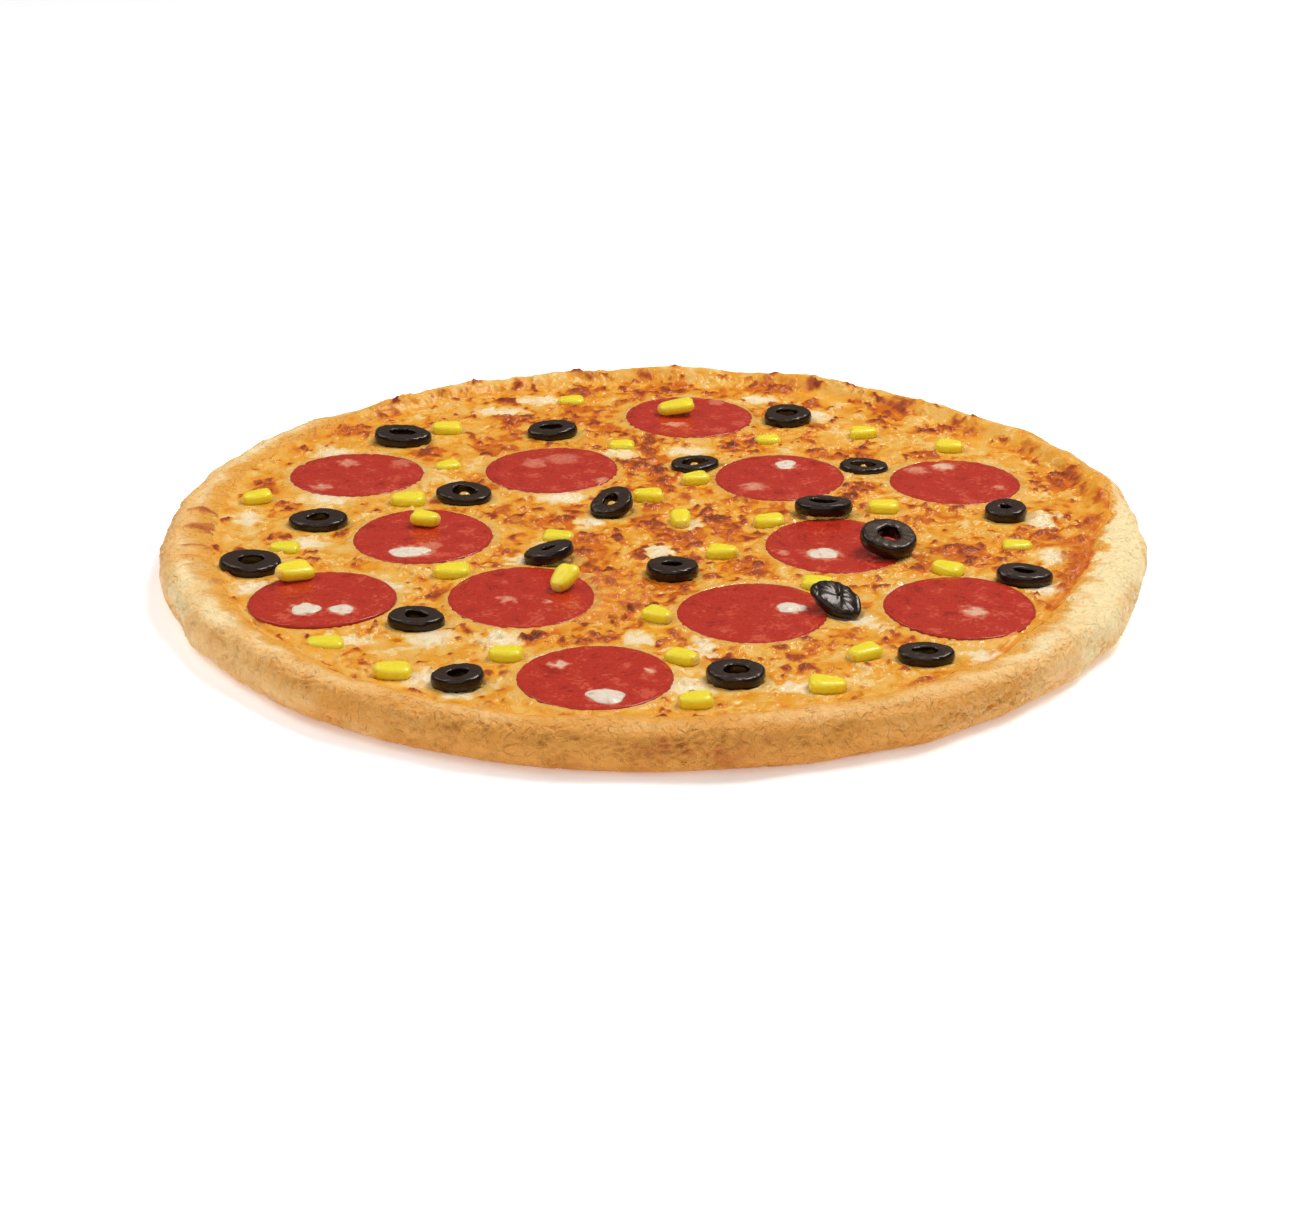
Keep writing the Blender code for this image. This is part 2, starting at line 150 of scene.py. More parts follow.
def ringPatch(rings, joined=False):
    # quads between neighbouring closed rings of points; the end rings close on a middle point, or join each
    # other
    count, steps, channels = rings.shape
    index = np.arange(count * steps).reshape(count, steps)
    lower, upper = (index, np.roll(index, -1, 0)) if joined else (index[:-1], index[1:])
    quads = np.stack([lower, np.roll(lower, -1, 1), np.roll(upper, -1, 1), upper], -1).reshape(-1, 4)
    points = rings.reshape(-1, channels)
    if joined:
        return points, quads, np.empty((0, 3), int)
    first, last = np.full(steps, len(points)), np.full(steps, len(points) + 1)
    fans = (
        np.stack([np.roll(index[0], -1), index[0], first], -1),
        np.stack([index[-1], np.roll(index[-1], -1), last], -1),
    )
    return np.concatenate([points, rings[:1].mean(1), rings[-1:].mean(1)]), quads, np.concatenate(fans)


def makePiece(name, patches, channels, material, slot, *replaced):
    # joins closed patches into one mesh, each turned outwards by the sign of its volume, the sum of
    # a . (b x c) over its triangles; the columns after x, y and z become attributes
    points, quads, tris, base = [], [], [], 0
    for p, q, t in patches:
        corners = np.concatenate([q[:, :3], q[:, [0, 2, 3]], t])
        a, b, c = (p[corners[:, k], :3] - p[:, :3].mean(0) for k in range(3))
        if np.einsum("ij,ij->", a, np.cross(b, c)) < 0:
            q, t = q[:, ::-1], t[:, ::-1]
        points.append(p)
        quads.append(q + base)
        tris.append(t + base)
        base += len(p)
    points, quads, tris = np.concatenate(points), np.concatenate(quads), np.concatenate(tris)
    mesh = bpy.data.meshes.new(name)
    mesh.vertices.add(len(points))
    mesh.vertices.foreach_set("co", (points[:, :3] * mm).ravel())
    mesh.loops.add(quads.size + tris.size)
    mesh.loops.foreach_set("vertex_index", np.concatenate([quads.ravel(), tris.ravel()]))
    mesh.polygons.add(len(quads) + len(tris))
    starts = np.concatenate([np.arange(len(quads)) * 4, quads.size + np.arange(len(tris)) * 3])
    mesh.polygons.foreach_set("loop_start", starts)
    mesh.update(calc_edges=True)
    mesh.validate()
    for k, channel in enumerate(channels):
        mesh.attributes.new(channel, "FLOAT", "POINT").data.foreach_set("value", points[:, 3 + k].copy())
    mesh.shade_smooth()
    mesh.materials.append(material)
    piece = bpy.data.objects.new(name, mesh)
    bpy.context.scene.collection.objects.link(piece)
    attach(piece, "root")
    if replaced:
        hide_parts(*replaced)
    return piece


def addNode(tree, kind, settings=None, inputs=None):
    # one shader node with its settings, and its inputs as values or as links from other sockets
    node = tree.nodes.new("ShaderNode" + kind)
    for name, value in (settings or {}).items():
        setattr(node, name, value)
    for name, value in (inputs or {}).items():
        if isinstance(value, bpy.types.NodeSocket):
            tree.links.new(value, node.inputs[name])
        else:
            node.inputs[name].default_value = value
    return node


def paintedMaterial(name, look):
    # a base colour with layers painted over it: each shows where its attribute, roughened by fine noise, goes
    # from low to high; roughness follows the noise plus a share of each attribute under "dry", and the clear
    # coat grows with the one under "glaze"; then bumps in mm, each a noise of one wavelength, twisted by the
    # third value
    material = bpy.data.materials.new(name)
    material.use_nodes = True
    tree = material.node_tree
    shader = tree.nodes["Principled BSDF"]
    place = addNode(tree, "TexCoord").outputs["Object"]
    grain = []
    for wave in look["grain"]:
        inputs = {"Vector": place, "Scale": 1 / (wave * mm), "Detail": 3.0}
        grain.append(addNode(tree, "TexNoise", {}, inputs).outputs["Fac"])
    colour = None
    for attribute, low, high, code, rough in look["layers"]:
        if colour is None:
            colour = hexToLinear(code)
            continue
        field = addNode(tree, "Attribute", {"attribute_name": attribute}).outputs["Fac"]
        for noise in grain:
            shift = addNode(tree, "Math", {"operation": "SUBTRACT"}, {0: noise, 1: 0.5}).outputs[0]
            mixed = {0: shift, 1: rough / len(grain), 2: field}
            field = addNode(tree, "Math", {"operation": "MULTIPLY_ADD"}, mixed).outputs[0]
        span = {"Value": field, "From Min": low, "From Max": high}
        mask = addNode(tree, "MapRange", {"interpolation_type": "SMOOTHSTEP"}, span)
        mixed = {0: mask.outputs["Result"], 6: colour, 7: hexToLinear(code)}
        colour = addNode(tree, "Mix", {"data_type": "RGBA"}, mixed).outputs[2]
    usual = {"From Min": 0.3, "From Max": 0.7}
    span = {"Value": grain[-1], **usual, "To Min": 1 - look["mottle"], "To Max": 1 + look["mottle"]}
    speck = addNode(tree, "MapRange", {}, span).outputs["Result"]
    shade = addNode(tree, "VectorMath", {"operation": "SCALE"}, {0: colour, "Scale": speck})
    tree.links.new(shade.outputs[0], shader.inputs["Base Color"])
    least, most = look["roughness"]
    span = {"Value": grain[0], **usual, "To Min": least, "To Max": most}
    roughness = addNode(tree, "MapRange", {}, span).outputs["Result"]
    for attribute, more in look.get("dry", ()):
        field = addNode(tree, "Attribute", {"attribute_name": attribute}).outputs["Fac"]
        mixed = {0: field, 1: more, 2: roughness}
        roughness = addNode(tree, "Math", {"operation": "MULTIPLY_ADD"}, mixed).outputs[0]
    tree.links.new(roughness, shader.inputs["Roughness"])
    if "glaze" in look:
        attribute, most, least = look["glaze"]
        field = addNode(tree, "Attribute", {"attribute_name": attribute}).outputs["Fac"]
        wet = addNode(tree, "MapRange", {}, {"Value": field, "To Min": least, "To Max": most})
        tree.links.new(wet.outputs["Result"], shader.inputs["Coat Weight"])
    normal = None
    for wave, height, twist in look["bumps"]:
        inputs = {"Vector": place, "Scale": 1 / (wave * mm), "Detail": 2.0, "Distortion": twist}
        relief = addNode(tree, "TexNoise", {}, inputs)
        inputs = {"Height": relief.outputs["Fac"], "Distance": height * mm, "Strength": 1.0}
        if normal:
            inputs["Normal"] = normal
        normal = addNode(tree, "Bump", {}, inputs).outputs["Normal"]
    tree.links.new(normal, shader.inputs["Normal"])
    for socket, value in look["shader"].items():
        shader.inputs[socket].default_value = value
    return material


# Crust: a disc of dough whose uneven outline and lumps are read from the solid
crustLook = {
    "radius": 140.0, "rimHeight": 12.6, "floor": 5.0, "outerHalf": 6.5, "innerSlope": 11.5, "roundness": 0.8,
    "meeting": 130.4, "widest": 6.0, "steps": 1300, "hiddenRings": 8, "seenRings": 60, "seenInside": 9,
    "warpStart": 0.45, "warpFull": 0.95, "wander": 0.55, "wanderWave": 4.5,
    "bumps": 170, "bumpSize": (1.6, 4.4), "bumpRadius": (124, 133.5), "bumpHeight": (0.08, 0.30),
    "baseShares": (0.985, 0.9, 0.75, 0.55, 0.3, 0.1),
}
# Baked bread dough: matt, floury golden skin, tight and finely wrinkled where it rose and shrank again
doughFinish = {
    "layers": (
        # these four layers follow how baked the dough looks, which along the rim is partly painted light
        ("bakeAndLight", 0, 1, "#FFE4AA", 0),
        ("bakeAndLight", 0.05, 0.40, "#F8C276", 0.15),
        ("bakeAndLight", 0.38, 0.75, "#E9A042", 0.15),
        ("bakeAndLight", 0.75, 1.10, "#C97526", 0.2),
        ("stain", 0.10, 0.90, "#EBA53C", 0.2),
        ("scorch", 0.20, 0.75, "#BE6220", 0.25),
        ("scorch", 0.60, 1.10, "#7E3612", 0.25),
    ),
    "grain": (2.6, 0.9), "mottle": 0.05, "roughness": (0.42, 0.60),
    "bumps": ((3.2, 1.3, 1.8), (1.3, 0.42, 0.8)),
    "shader": {"IOR": 1.40, "Coat Weight": 0.04, "Coat Roughness": 0.35,
               "Subsurface Weight": 0.08, "Subsurface Radius": (1.0, 0.5, 0.2), "Subsurface Scale": 0.0012},
}
# How baked the rim looks at clock angles in degrees, 0 pale and 1 brown: partly real uneven browning and
# partly painted light, paler on the right where the light falls and browner at the front, which faces away
# from it
rimBakeAndLight = (
    (-180, 0.50), (-168, 0.40), (-158, 0.14), (-145, 0.34), (-125, 0.56), (-100, 0.70), (-85, 0.76),
    (-65, 0.60), (-50, 0.48), (-38, 0.20), (-30, 0.12), (-15, 0.06), (5, 0.08), (20, 0.40), (45, 0.50),
    (90, 0.45), (112, 0.40), (135, 0.42), (158, 0.30),
)
# Browned spots on the crest: clock angle, distance from the middle, half length and half width, darkness
rimSpots = (
    (177, 130, 3.4, 2.6, 0.8), (-177, 127.5, 5.0, 3.2, 0.7), (-171, 127.5, 3.2, 2.2, 0.6),
    (149, 125, 4.0, 3.0, 0.8), (-168, 131, 3.0, 2.0, 0.50), (-164.5, 130.5, 3.8, 1.8, 0.42),
    (-159, 126.5, 3.4, 2.0, 0.45), (171, 129, 3.0, 2.0, 0.35), (129, 130, 3.4, 3.4, 0.75),
    (101, 131, 4.4, 3.2, 0.85), (87, 131, 3.0, 2.4, 0.8), (125, 121, 2.8, 2.4, 0.6),
    (95, 124, 7.5, 4.0, 0.55), (63, 134, 3.6, 2.4, 0.6), (61, 127, 5.2, 3.6, 0.65),
    (110, 127, 3.4, 2.4, 0.6), (98, 128, 2.6, 2.4, 0.7), (40, 131, 3.4, 2.2, 0.6), (30, 129, 2.6, 2.0, 0.5),
    (-155, 128, 3.0, 1.8, 0.4), (-57, 128, 2.8, 1.4, 0.5), (-89, 130, 2.6, 1.4, 0.6),
    (-85, 130, 3.2, 1.6, 0.6), (140, 128, 2.4, 2.0, 0.5), (165, 127, 2.8, 2.0, 0.45),
    (75, 130, 2.6, 2.0, 0.5), (52, 130, 2.8, 2.2, 0.5), (118, 129, 2.4, 1.8, 0.5),
)

crustPoints = nodePoints("crust")
clock = np.arctan2(crustPoints[:, 1], crustPoints[:, 0])
reach = np.hypot(crustPoints[:, 0], crustPoints[:, 1])
spokeCount, waveCount, rimStart = 72, 20, 122
spokeAngles = circleAngles(spokeCount)
spokes = np.round(clock / spokeAngles[1]).astype(int) % spokeCount
farthest = np.array([reach[spokes == k].max() for k in range(spokeCount)])
highest = np.array([crustPoints[(spokes == k) & (reach > rimStart), 2].max() for k in range(spokeCount)])
outlineFit = waveFit(spokeAngles, farthest / crustLook["radius"], waveCount)
crestFit = waveFit(spokeAngles, highest - crustLook["rimHeight"], waveCount)

# Where the cheese ends, as a distance from the middle at clock angles in degrees: past the crest at the back
cheeseEdge = (
    (-170, 125.5), (-162, 124.8), (-154, 127.0), (-146, 128.0), (-131, 129.2), (-120, 130.2), (-106, 129.6),
    (-94, 128.6), (-86, 129.6), (-74, 129.0), (-62, 127.6), (-48, 127.0), (-35, 124.8), (-26, 124.0),
    (-18, 124.6), (-8, 126.0), (-2, 128.4), (2, 132.5), (11, 135.2), (15, 135.6), (22, 134.2), (30, 135.6),
    (60, 135.8), (90, 136.0), (118, 135.4), (132, 134.4), (142, 131.5), (152, 129.0), (163, 129.5),
    (176, 127.0),
)


def edgeRadius(angle, ragged=1):
    # the cheese's edge on the true circle: the measured distances, with ragged lobes of two sizes where asked
    x, y = 40 * np.cos(angle), 40 * np.sin(angle)
    lobes = 0.38 * noiseAt(x, y, 3.2, 51) + 0.16 * noiseAt(x, y, 1.2, 52)
    return atClock(cheeseEdge, angle) + ragged * lobes


def widening(angle, radius):
    # how far the inner slope moves in: the cheese's shortfall from where the slope meets it, fading to none
    # at the crest
    look = crustLook
    short = np.clip(look["meeting"] - edgeRadius(angle, 0), 0, look["widest"])
    crest = look["radius"] - look["outerHalf"]
    return short * np.clip((crest - radius) / (crest - look["meeting"]), 0, 1)


def slopeRadius(angle, radius):
    # the radius on the plain profile of a point of the widened slope, found by halving
    low, high = radius, radius + crustLook["widest"]
    for _ in range(12):
        middle = (low + high) / 2
        inside = middle - widening(angle, middle) < radius
        low, high = np.where(inside, middle, low), np.where(inside, high, middle)
    return (low + high) / 2


def stretchAt(angle, radius):
    # how far the uneven outline stretches a point of the true circle, fading in from the middle
    fade = smoothStep(crustLook["warpStart"], crustLook["warpFull"], radius / crustLook["radius"])
    return 1 + fade * (waveAt(outlineFit, angle) - 1)


def rimProfile():
    # radius and height along the dough: an S slope up to the crest, then a superellipse round to the base
    look = crustLook
    crest = look["radius"] - look["outerHalf"]
    along = np.linspace(1, 0, 80)
    climb = (look["rimHeight"] - look["floor"]) * (1 + np.cos(np.pi * along)) / 2
    slope = np.stack([crest - look["innerSlope"] * along, look["floor"] + climb], 1)
    turn = np.radians(np.linspace(90, -80, 120))[1:]
    power = look["roundness"]
    side = np.stack([crest + look["outerHalf"] * np.cos(turn) ** power,
                     look["rimHeight"] / 2 * (1 + np.sign(turn) * np.abs(np.sin(turn)) ** power)], 1)
    return np.concatenate([slope, side])


profile = rimProfile()
profileRun = np.concatenate([[0], np.cumsum(np.hypot(*np.diff(profile, axis=0).T))])
crestIndex = int(profile[:, 1].argmax())
seenStart = profileRun[crestIndex] - crustLook["seenInside"]
# The part of the profile from the floor over the crest, which has one height for each radius
topPart = slice(0, crestIndex + 40)
rimRun = np.concatenate([np.linspace(0, seenStart, crustLook["hiddenRings"], endpoint=False),
                         np.linspace(seenStart, profileRun[-1], crustLook["seenRings"])])
rimR, rimZ = (np.interp(rimRun, profileRun, profile[:, k]) for k in range(2))
rimSlopeR, rimSlopeZ = np.gradient(rimR, rimRun), np.gradient(rimZ, rimRun)
rimAngle = circleAngles(crustLook["steps"])
rimPixel = (rimRun[-1] - rimRun[-2], crustLook["radius"] * rimAngle[1])
rimShape = (len(rimRun), crustLook["steps"])


def rimNoise(wave, seed):
    # noise laid over the rim, its wavelengths along and round the dough in mm
    return rasterNoise(rimShape, rimPixel, wave, seed)


def rimStamp(field, clockAngle, radius, halfAround, halfAcross, value, power):
    # adds a soft oval to a field laid over the rim: (1 - d^2)^power inside it, d measured along the dough
    plain = slopeRadius(math.radians(clockAngle), radius)
    run = np.interp(plain, profile[:crestIndex + 1, 0], profileRun[:crestIndex + 1])
    around = (rimAngle - math.radians(clockAngle) + np.pi) % (2 * np.pi) - np.pi
    around = around * crustLook["radius"] + rimWander[0]
    across = rimRun[:, None] - run + rimWander[1]
    away = (around / halfAround) ** 2 + (across / halfAcross) ** 2
    shape = np.clip(1 - away, 0, 1) ** power
    np.maximum(field, value * shape, out=field)


rimWander = [crustLook["wander"] * rimNoise((crustLook["wanderWave"],) * 2, seed) for seed in (11, 12)]
rimScorch = np.zeros(rimShape)
rimBumps = np.zeros(rimShape)
for spotAngle, spotRadius, spotLength, spotWidth, spotDark in rimSpots:
    rimStamp(rimScorch, spotAngle, spotRadius, spotLength, spotWidth, spotDark, 0.7)
    rimStamp(rimBumps, spotAngle, spotRadius, spotLength, spotWidth, 0.9 * spotDark, 1.0)
draw = np.random.default_rng(5)
for _ in range(crustLook["bumps"]):
    size = draw.uniform(*crustLook["bumpSize"])
    rimStamp(rimBumps, draw.uniform(-180, 180), draw.uniform(*crustLook["bumpRadius"]),
             size * draw.uniform(1, 1.6), size, draw.uniform(*crustLook["bumpHeight"]), 1.5)
sideShare = smoothStep(profileRun[crestIndex] - 1, profileRun[crestIndex] + 7, rimRun)[:, None]
ripple = np.abs(rimNoise((3.2, 4.6), 21)) + 0.4 * np.abs(rimNoise((2, 2.6), 22))
patchy = smoothStep(-1.0, 0.8, rimNoise((16, 30), 23))
rimRelief = (
    0.32 * rimNoise((22, 30), 24)
    + 0.10 * rimNoise((7, 9), 25)
    + rimBumps
    - 0.36 * ripple * patchy * (0.15 + 0.85 * sideShare)
)
rimRelief *= (smoothStep(profileRun[-1], profileRun[-1] - 5, rimRun) * smoothStep(0, 6, rimRun))[:, None]
crestLift = waveAt(crestFit, rimAngle) * smoothStep(1, crustLook["rimHeight"], rimZ)[:, None]
rimFade = stretchAt(rimAngle[None, :], rimR[:, None])
wider = widening(rimAngle[None, :], rimR[:, None]) * (rimRun < profileRun[crestIndex])[:, None]
ringR = (rimR[:, None] - wider) * rimFade - rimRelief * rimSlopeZ[:, None]
ringZ = rimZ[:, None] + crestLift + rimRelief * rimSlopeR[:, None]


def crustTopAt(x, y):
    # height of the dough under a point, read between the rings of its inner slope and crest
    angle, radius = np.arctan2(y, x), np.hypot(x, y)
    radius = slopeRadius(angle, radius / stretchAt(angle, radius))
    run = np.interp(radius, profile[topPart, 0], profileRun[topPart])
    row = np.interp(run, rimRun, np.arange(len(rimRun)))
    column = angle / rimAngle[1] % crustLook["steps"]
    i, j = np.minimum(row.astype(int), len(rimRun) - 2), column.astype(int)
    columns = (j % crustLook["steps"], (j + 1) % crustLook["steps"])
    height = readBetween(ringZ, (i, i + 1), columns, row - i, column - j)
    return np.where(radius < profile[0, 0], crustLook["floor"], height)


def makeCrust():
    # the rim's rings between a hidden floor and a flat underside; its colour follows the clock, partly real
    # browning and partly painted light, and is darker down the outer side and paler along the crest
    degrees = (np.degrees(rimAngle) + 180) % 360 - 180
    blotch = 0.06 * rimNoise((12, 24), 31) + 0.025 * rimNoise((4, 5), 32)
    onCrest = smoothStep(6, 0, np.abs(rimRun - profileRun[crestIndex]))[:, None]
    # how baked the rim looks: the clock table, partly painted light, with blotches, darker down the outer
    # side and paler along the crest
    bakeAndLight = atClock(rimBakeAndLight, rimAngle) + blotch + 0.10 * sideShare - 0.14 * onCrest
    bakeAndLight = bakeAndLight + 0.06 * (ripple - 0.9) * patchy * sideShare + 0.45 * rimScorch
    edge = slopeRadius(rimAngle, edgeRadius(rimAngle, 0))
    past = rimRun[:, None] - np.interp(edge, profile[topPart, 0], profileRun[topPart])[None, :]
    past = past + 0.5 * rimNoise((5, 14), 34) + 0.25 * rimNoise((2, 3), 35)
    wide = 5.5 - 3.7 * np.exp(-(((degrees + 5) / 26) ** 2))
    stain = smoothStep(1, 0, (past + 0.5) / (wide + 0.5))
    rim = np.stack([ringR * np.cos(rimAngle), ringR * np.sin(rimAngle), ringZ, bakeAndLight, rimScorch, stain], -1)
    inner, outer = rim[:1].copy(), rim[-1:].copy()
    base = []
    for share in crustLook["baseShares"]:
        ring = outer.copy()
        ring[..., :2] *= share
        spot = noiseAt(ring[..., 0], ring[..., 1], 18, 33)
        ring[..., 2] = 0
        ring[..., 3] = 0.75 + 0.15 * spot
        ring[..., 4] = 0.45 * smoothStep(0.8, 1.8, spot)
        base.append(ring)
    inner[..., :2] *= 0.5
    rings = np.concatenate([inner, rim, *base])
    material = paintedMaterial("baked_wheat_dough", doughFinish)
    makePiece("crust_dough", [ringPatch(rings)], ("bakeAndLight", "scorch", "stain"), material, "dough", "crust")


makeCrust()
print("stage: crust")

# Toppings: places and sizes are read from the solids
sliceNames = sorted(n for n in nodes if n.startswith("salami"))
oliveNames = sorted(n for n in nodes if n.startswith("olive"))
kernelNames = sorted(n for n in nodes if n.startswith("corn"))
axesOf = {n: nodeAxes(nodePoints(n)) for n in sliceNames + oliveNames + kernelNames}

# Melted cheese: a canvas of strands, bubbles and curds is worked out first, then the sheet reads it; "feet"
# is how high and how far it climbs each kind of topping in mm
cheeseLook = {
    "cells": 309, "step": 0.35, "half": 138.0, "level": 9.8, "reach": 135.0, "edge": 130.0, "film": 0.55,
    "seed": 8, "strands": 2600, "strandLength": (5, 14), "strandWidth": (1.8, 3.8), "strandBend": (-0.5, 0.5),
    "strandLift": (0.1, 0.8), "strandCover": 0.82,
    "tones": (0.05, 0.22, 0.42, 0.62, 0.80), "toneShares": (0.10, 0.20, 0.32, 0.26, 0.12),
    "bubbles": 1650, "bubbleLeast": 0.45, "bubbleMost": 2.6, "bubbleDark": (0.35, 1.1),
    "bubbleStretch": (1, 1.9), "curdStrength": 0.76, "scorchAngle": -14, "scorchWidth": 12,
    "feet": {"salami": (0.90, 3.0), "olive": (0.35, 1.5), "corn": (0.25, 1.5)},
    "skirt": 1.6, "under": 6.7, "lump": 0.95,
}
# Mozzarella baked brown: oily, wet gloss, cream to orange with caramelised bubbles
cheeseFinish = {
    "layers": (
        ("tone", 0, 1, "#EFCA86", 0),
        ("tone", 0.04, 0.26, "#EAB252", 0.18),
        ("tone", 0.26, 0.52, "#E69B28", 0.18),
        ("tone", 0.52, 0.84, "#CF680E", 0.18),
        ("toast", 0.08, 0.60, "#AD4813", 0.08),
        ("blush", 0.10, 1.30, "#DC6E3A", 0.20),
        ("toast", 0.46, 0.98, "#6C260A", 0.10),
        ("curd", 0.10, 0.90, "#F4E1BC", 0.10),
    ),
    "grain": (1.5, 0.6), "mottle": 0.09, "roughness": (0.22, 0.42), "dry": (("wet", -0.20), ("toast", 0.25)),
    "glaze": ("wet", 0.75, 0.10),
    "bumps": ((1.3, 0.15, 0.5), (0.5, 0.05, 0)),
    "shader": {"IOR": 1.40, "Specular Tint": (1.0, 0.80, 0.55, 1.0), "Coat Roughness": 0.05,
               "Subsurface Weight": 0.06, "Subsurface Radius": (1.0, 0.4, 0.12), "Subsurface Scale": 0.0012},
}
# Unbrowned white patches: x, y, half width and half depth in mm
curdPatches = (
    (-58, -79, 6, 6), (-40, -80, 6, 5), (-58, -104, 5, 5), (9, -110, 6, 5), (13, -86, 3, 6), (10, 2, 4, 4),
    (2, -20, 4, 5), (106, -46, 4, 6), (85, -90, 4, 5), (37, -109, 8, 3), (-95, 22, 7, 5), (-109, -46, 5, 5),
    (51, 95, 5, 5), (-37, -26, 3, 4), (-10, 60, 5, 5), (-49, -113, 5, 3), (-81, -80, 8, 3), (81, 39, 3, 5),
    (112, 4, 4, 6), (111, -24, 4, 6), (-4, -80, 4, 4), (-27, 22, 7, 4), (-18, 3, 4, 4), (34, 110, 5, 4),
    (-37, 110, 7, 4), (-49, 99, 8, 4), (-117, 6, 4, 6), (-71, -46, 3, 4), (55, -68, 4, 4), (66, -50, 3, 4),
    (-98, -13, 6, 4), (10, 62, 6, 4), (100, 25, 5, 6), (-98, 60, 6, 5),
)
# A slice wholly under toasted cheese, beside the fourth one: x, y, radius
coveredSlice = (-18, -52, 17.5)
# How much cheese fills the hole of an olive ring, as a share of its thickness
holeFill = {"olive_04": 0.75, "olive_05": 0.45, "olive_06": 0.6, "olive_07": 0.8, "olive_08": 0.9,
            "olive_09": 0.35, "olive_12": 0.4, "olive_19": 0.5, "olive_20": 0.35, "olive_03": 0.35}
# Browned lumps near the edge: clock angle, distance in from the edge, half length, half width, darkness
edgeSpots = (
    (-154, 2.0, 4.0, 2.6, 0.6), (149, 4.5, 3.8, 2.4, 0.75), (140, 3.0, 2.6, 1.8, 0.5),
    (129, 2.8, 3.2, 2.6, 0.9), (124, 9.0, 3.0, 2.2, 0.6), (116, 3.5, 3.4, 1.8, 0.7),
    (110, 6.5, 3.2, 2.2, 0.6), (101, 3.0, 3.6, 2.6, 0.85), (97, 6.0, 3.4, 2.4, 0.7),
    (93, 8.0, 4.0, 2.4, 0.6), (87, 2.6, 2.4, 1.8, 0.75), (80, 6.0, 3.6, 1.8, 0.5), (73, 3.0, 3.6, 1.6, 0.6),
    (66, 5.0, 3.4, 2.4, 0.75), (61, 2.6, 4.2, 1.6, 0.7), (56, 6.0, 4.8, 2.4, 0.75), (47, 3.0, 3.2, 1.6, 0.6),
    (40, 2.4, 3.2, 1.8, 0.75), (33, 7.0, 3.2, 2.2, 0.55), (24, 8.0, 4.0, 2.4, 0.6), (18, 5.0, 4.4, 2.6, 0.55),
    (12, 7.0, 5.0, 3.4, 0.5), (8, 3.5, 4.2, 2.6, 0.45), (-5, 5.0, 4.0, 2.6, 0.5), (-14, 4.0, 5.0, 2.4, 0.45),
    (-22, 3.5, 4.4, 2.4, 0.5), (-35, 6.0, 3.6, 1.8, 0.5), (-57, 3.0, 8.0, 2.2, 0.5),
    (-67, 2.0, 3.4, 1.4, 0.5), (-85, 1.6, 3.2, 1.6, 0.9), (-89, 1.4, 3.0, 1.4, 0.85),
    (-100, 1.6, 3.2, 1.2, 0.4), (-118, 3.0, 4.2, 2.0, 0.6), (-131, 2.4, 4.0, 1.6, 0.5),
    (-141, 2.8, 3.4, 1.8, 0.6), (-163, 3.6, 4.4, 3.0, 0.75), (-172, 2.2, 4.2, 2.6, 0.75),
    (178, 3.6, 4.0, 2.6, 0.75), (169, 5.0, 3.6, 2.4, 0.6),
)
# How hard parts of the pizza baked, more above 0: x, y, radius, amount
heatSpots = (
    (-92, 8, 40, -0.5), (-62, -92, 34, -0.45), (60, -100, 34, -0.35), (8, 0, 45, 0.55), (5, 88, 48, 0.3),
    (112, -14, 26, 0.5), (-20, -50, 24, 0.5), (-45, 60, 40, 0.1), (68, 74, 40, -0.1), (-112, -50, 16, 0.4),
    (90, 72, 24, -0.35), (-80, 90, 22, -0.2),
)

canvasCount = int(2 * cheeseLook["half"] / cheeseLook["step"])
canvasAxis = (np.arange(canvasCount) - (canvasCount - 1) / 2) * cheeseLook["step"]
canvasX, canvasY = np.meshgrid(canvasAxis, canvasAxis)


def canvasNoise(wave, seed):
    # noise of one wavelength in mm over the whole canvas
    step = cheeseLook["step"]
    return rasterNoise((canvasCount, canvasCount), (step, step), (wave, wave), seed)


def softened(field, width):
    # a canvas field blurred by a Gaussian: its spectrum times exp(-2 (pi f width)^2)
    rows = np.fft.fftfreq(canvasCount, cheeseLook["step"])
    columns = np.fft.rfftfreq(canvasCount, cheeseLook["step"])
    keep = np.exp(-2 * (np.pi * width * np.hypot(rows[:, None], columns)) ** 2)
    return np.fft.irfft2(np.fft.rfft2(field) * keep, field.shape)


def canvasWindow(x, y, reach):
    # the rows and columns of the canvas within reach of a point
    spans = []
    for middle in (y, x):
        low = int(np.clip((middle - reach - canvasAxis[0]) / cheeseLook["step"], 0, canvasCount - 2))
        high = int(np.clip((middle + reach - canvasAxis[0]) / cheeseLook["step"] + 2, low + 1, canvasCount))
        spans.append(slice(low, high))
    return tuple(spans)


def canvasAt(field, x, y):
    # a canvas field at any x and y in mm
    v, u = (np.clip((p - canvasAxis[0]) / cheeseLook["step"], 0, canvasCount - 1.001) for p in (y, x))
    i, j = v.astype(int), u.astype(int)
    return readBetween(field, (i, i + 1), (j, j + 1), v - i, u - j)


def ovalGap(x, y, name):
    # distance outside a topping's oval footprint in mm, less than zero inside it
    centre, axes, half = axesOf[name]
    dx, dy = x - centre[0], y - centre[1]
    along = dx * axes[0][0] + dy * axes[0][1]
    across = dx * axes[1][0] + dy * axes[1][1]
    return (np.sqrt((along / half[0]) ** 2 + (across / half[1]) ** 2) - 1) * (half[0] + half[1]) / 2


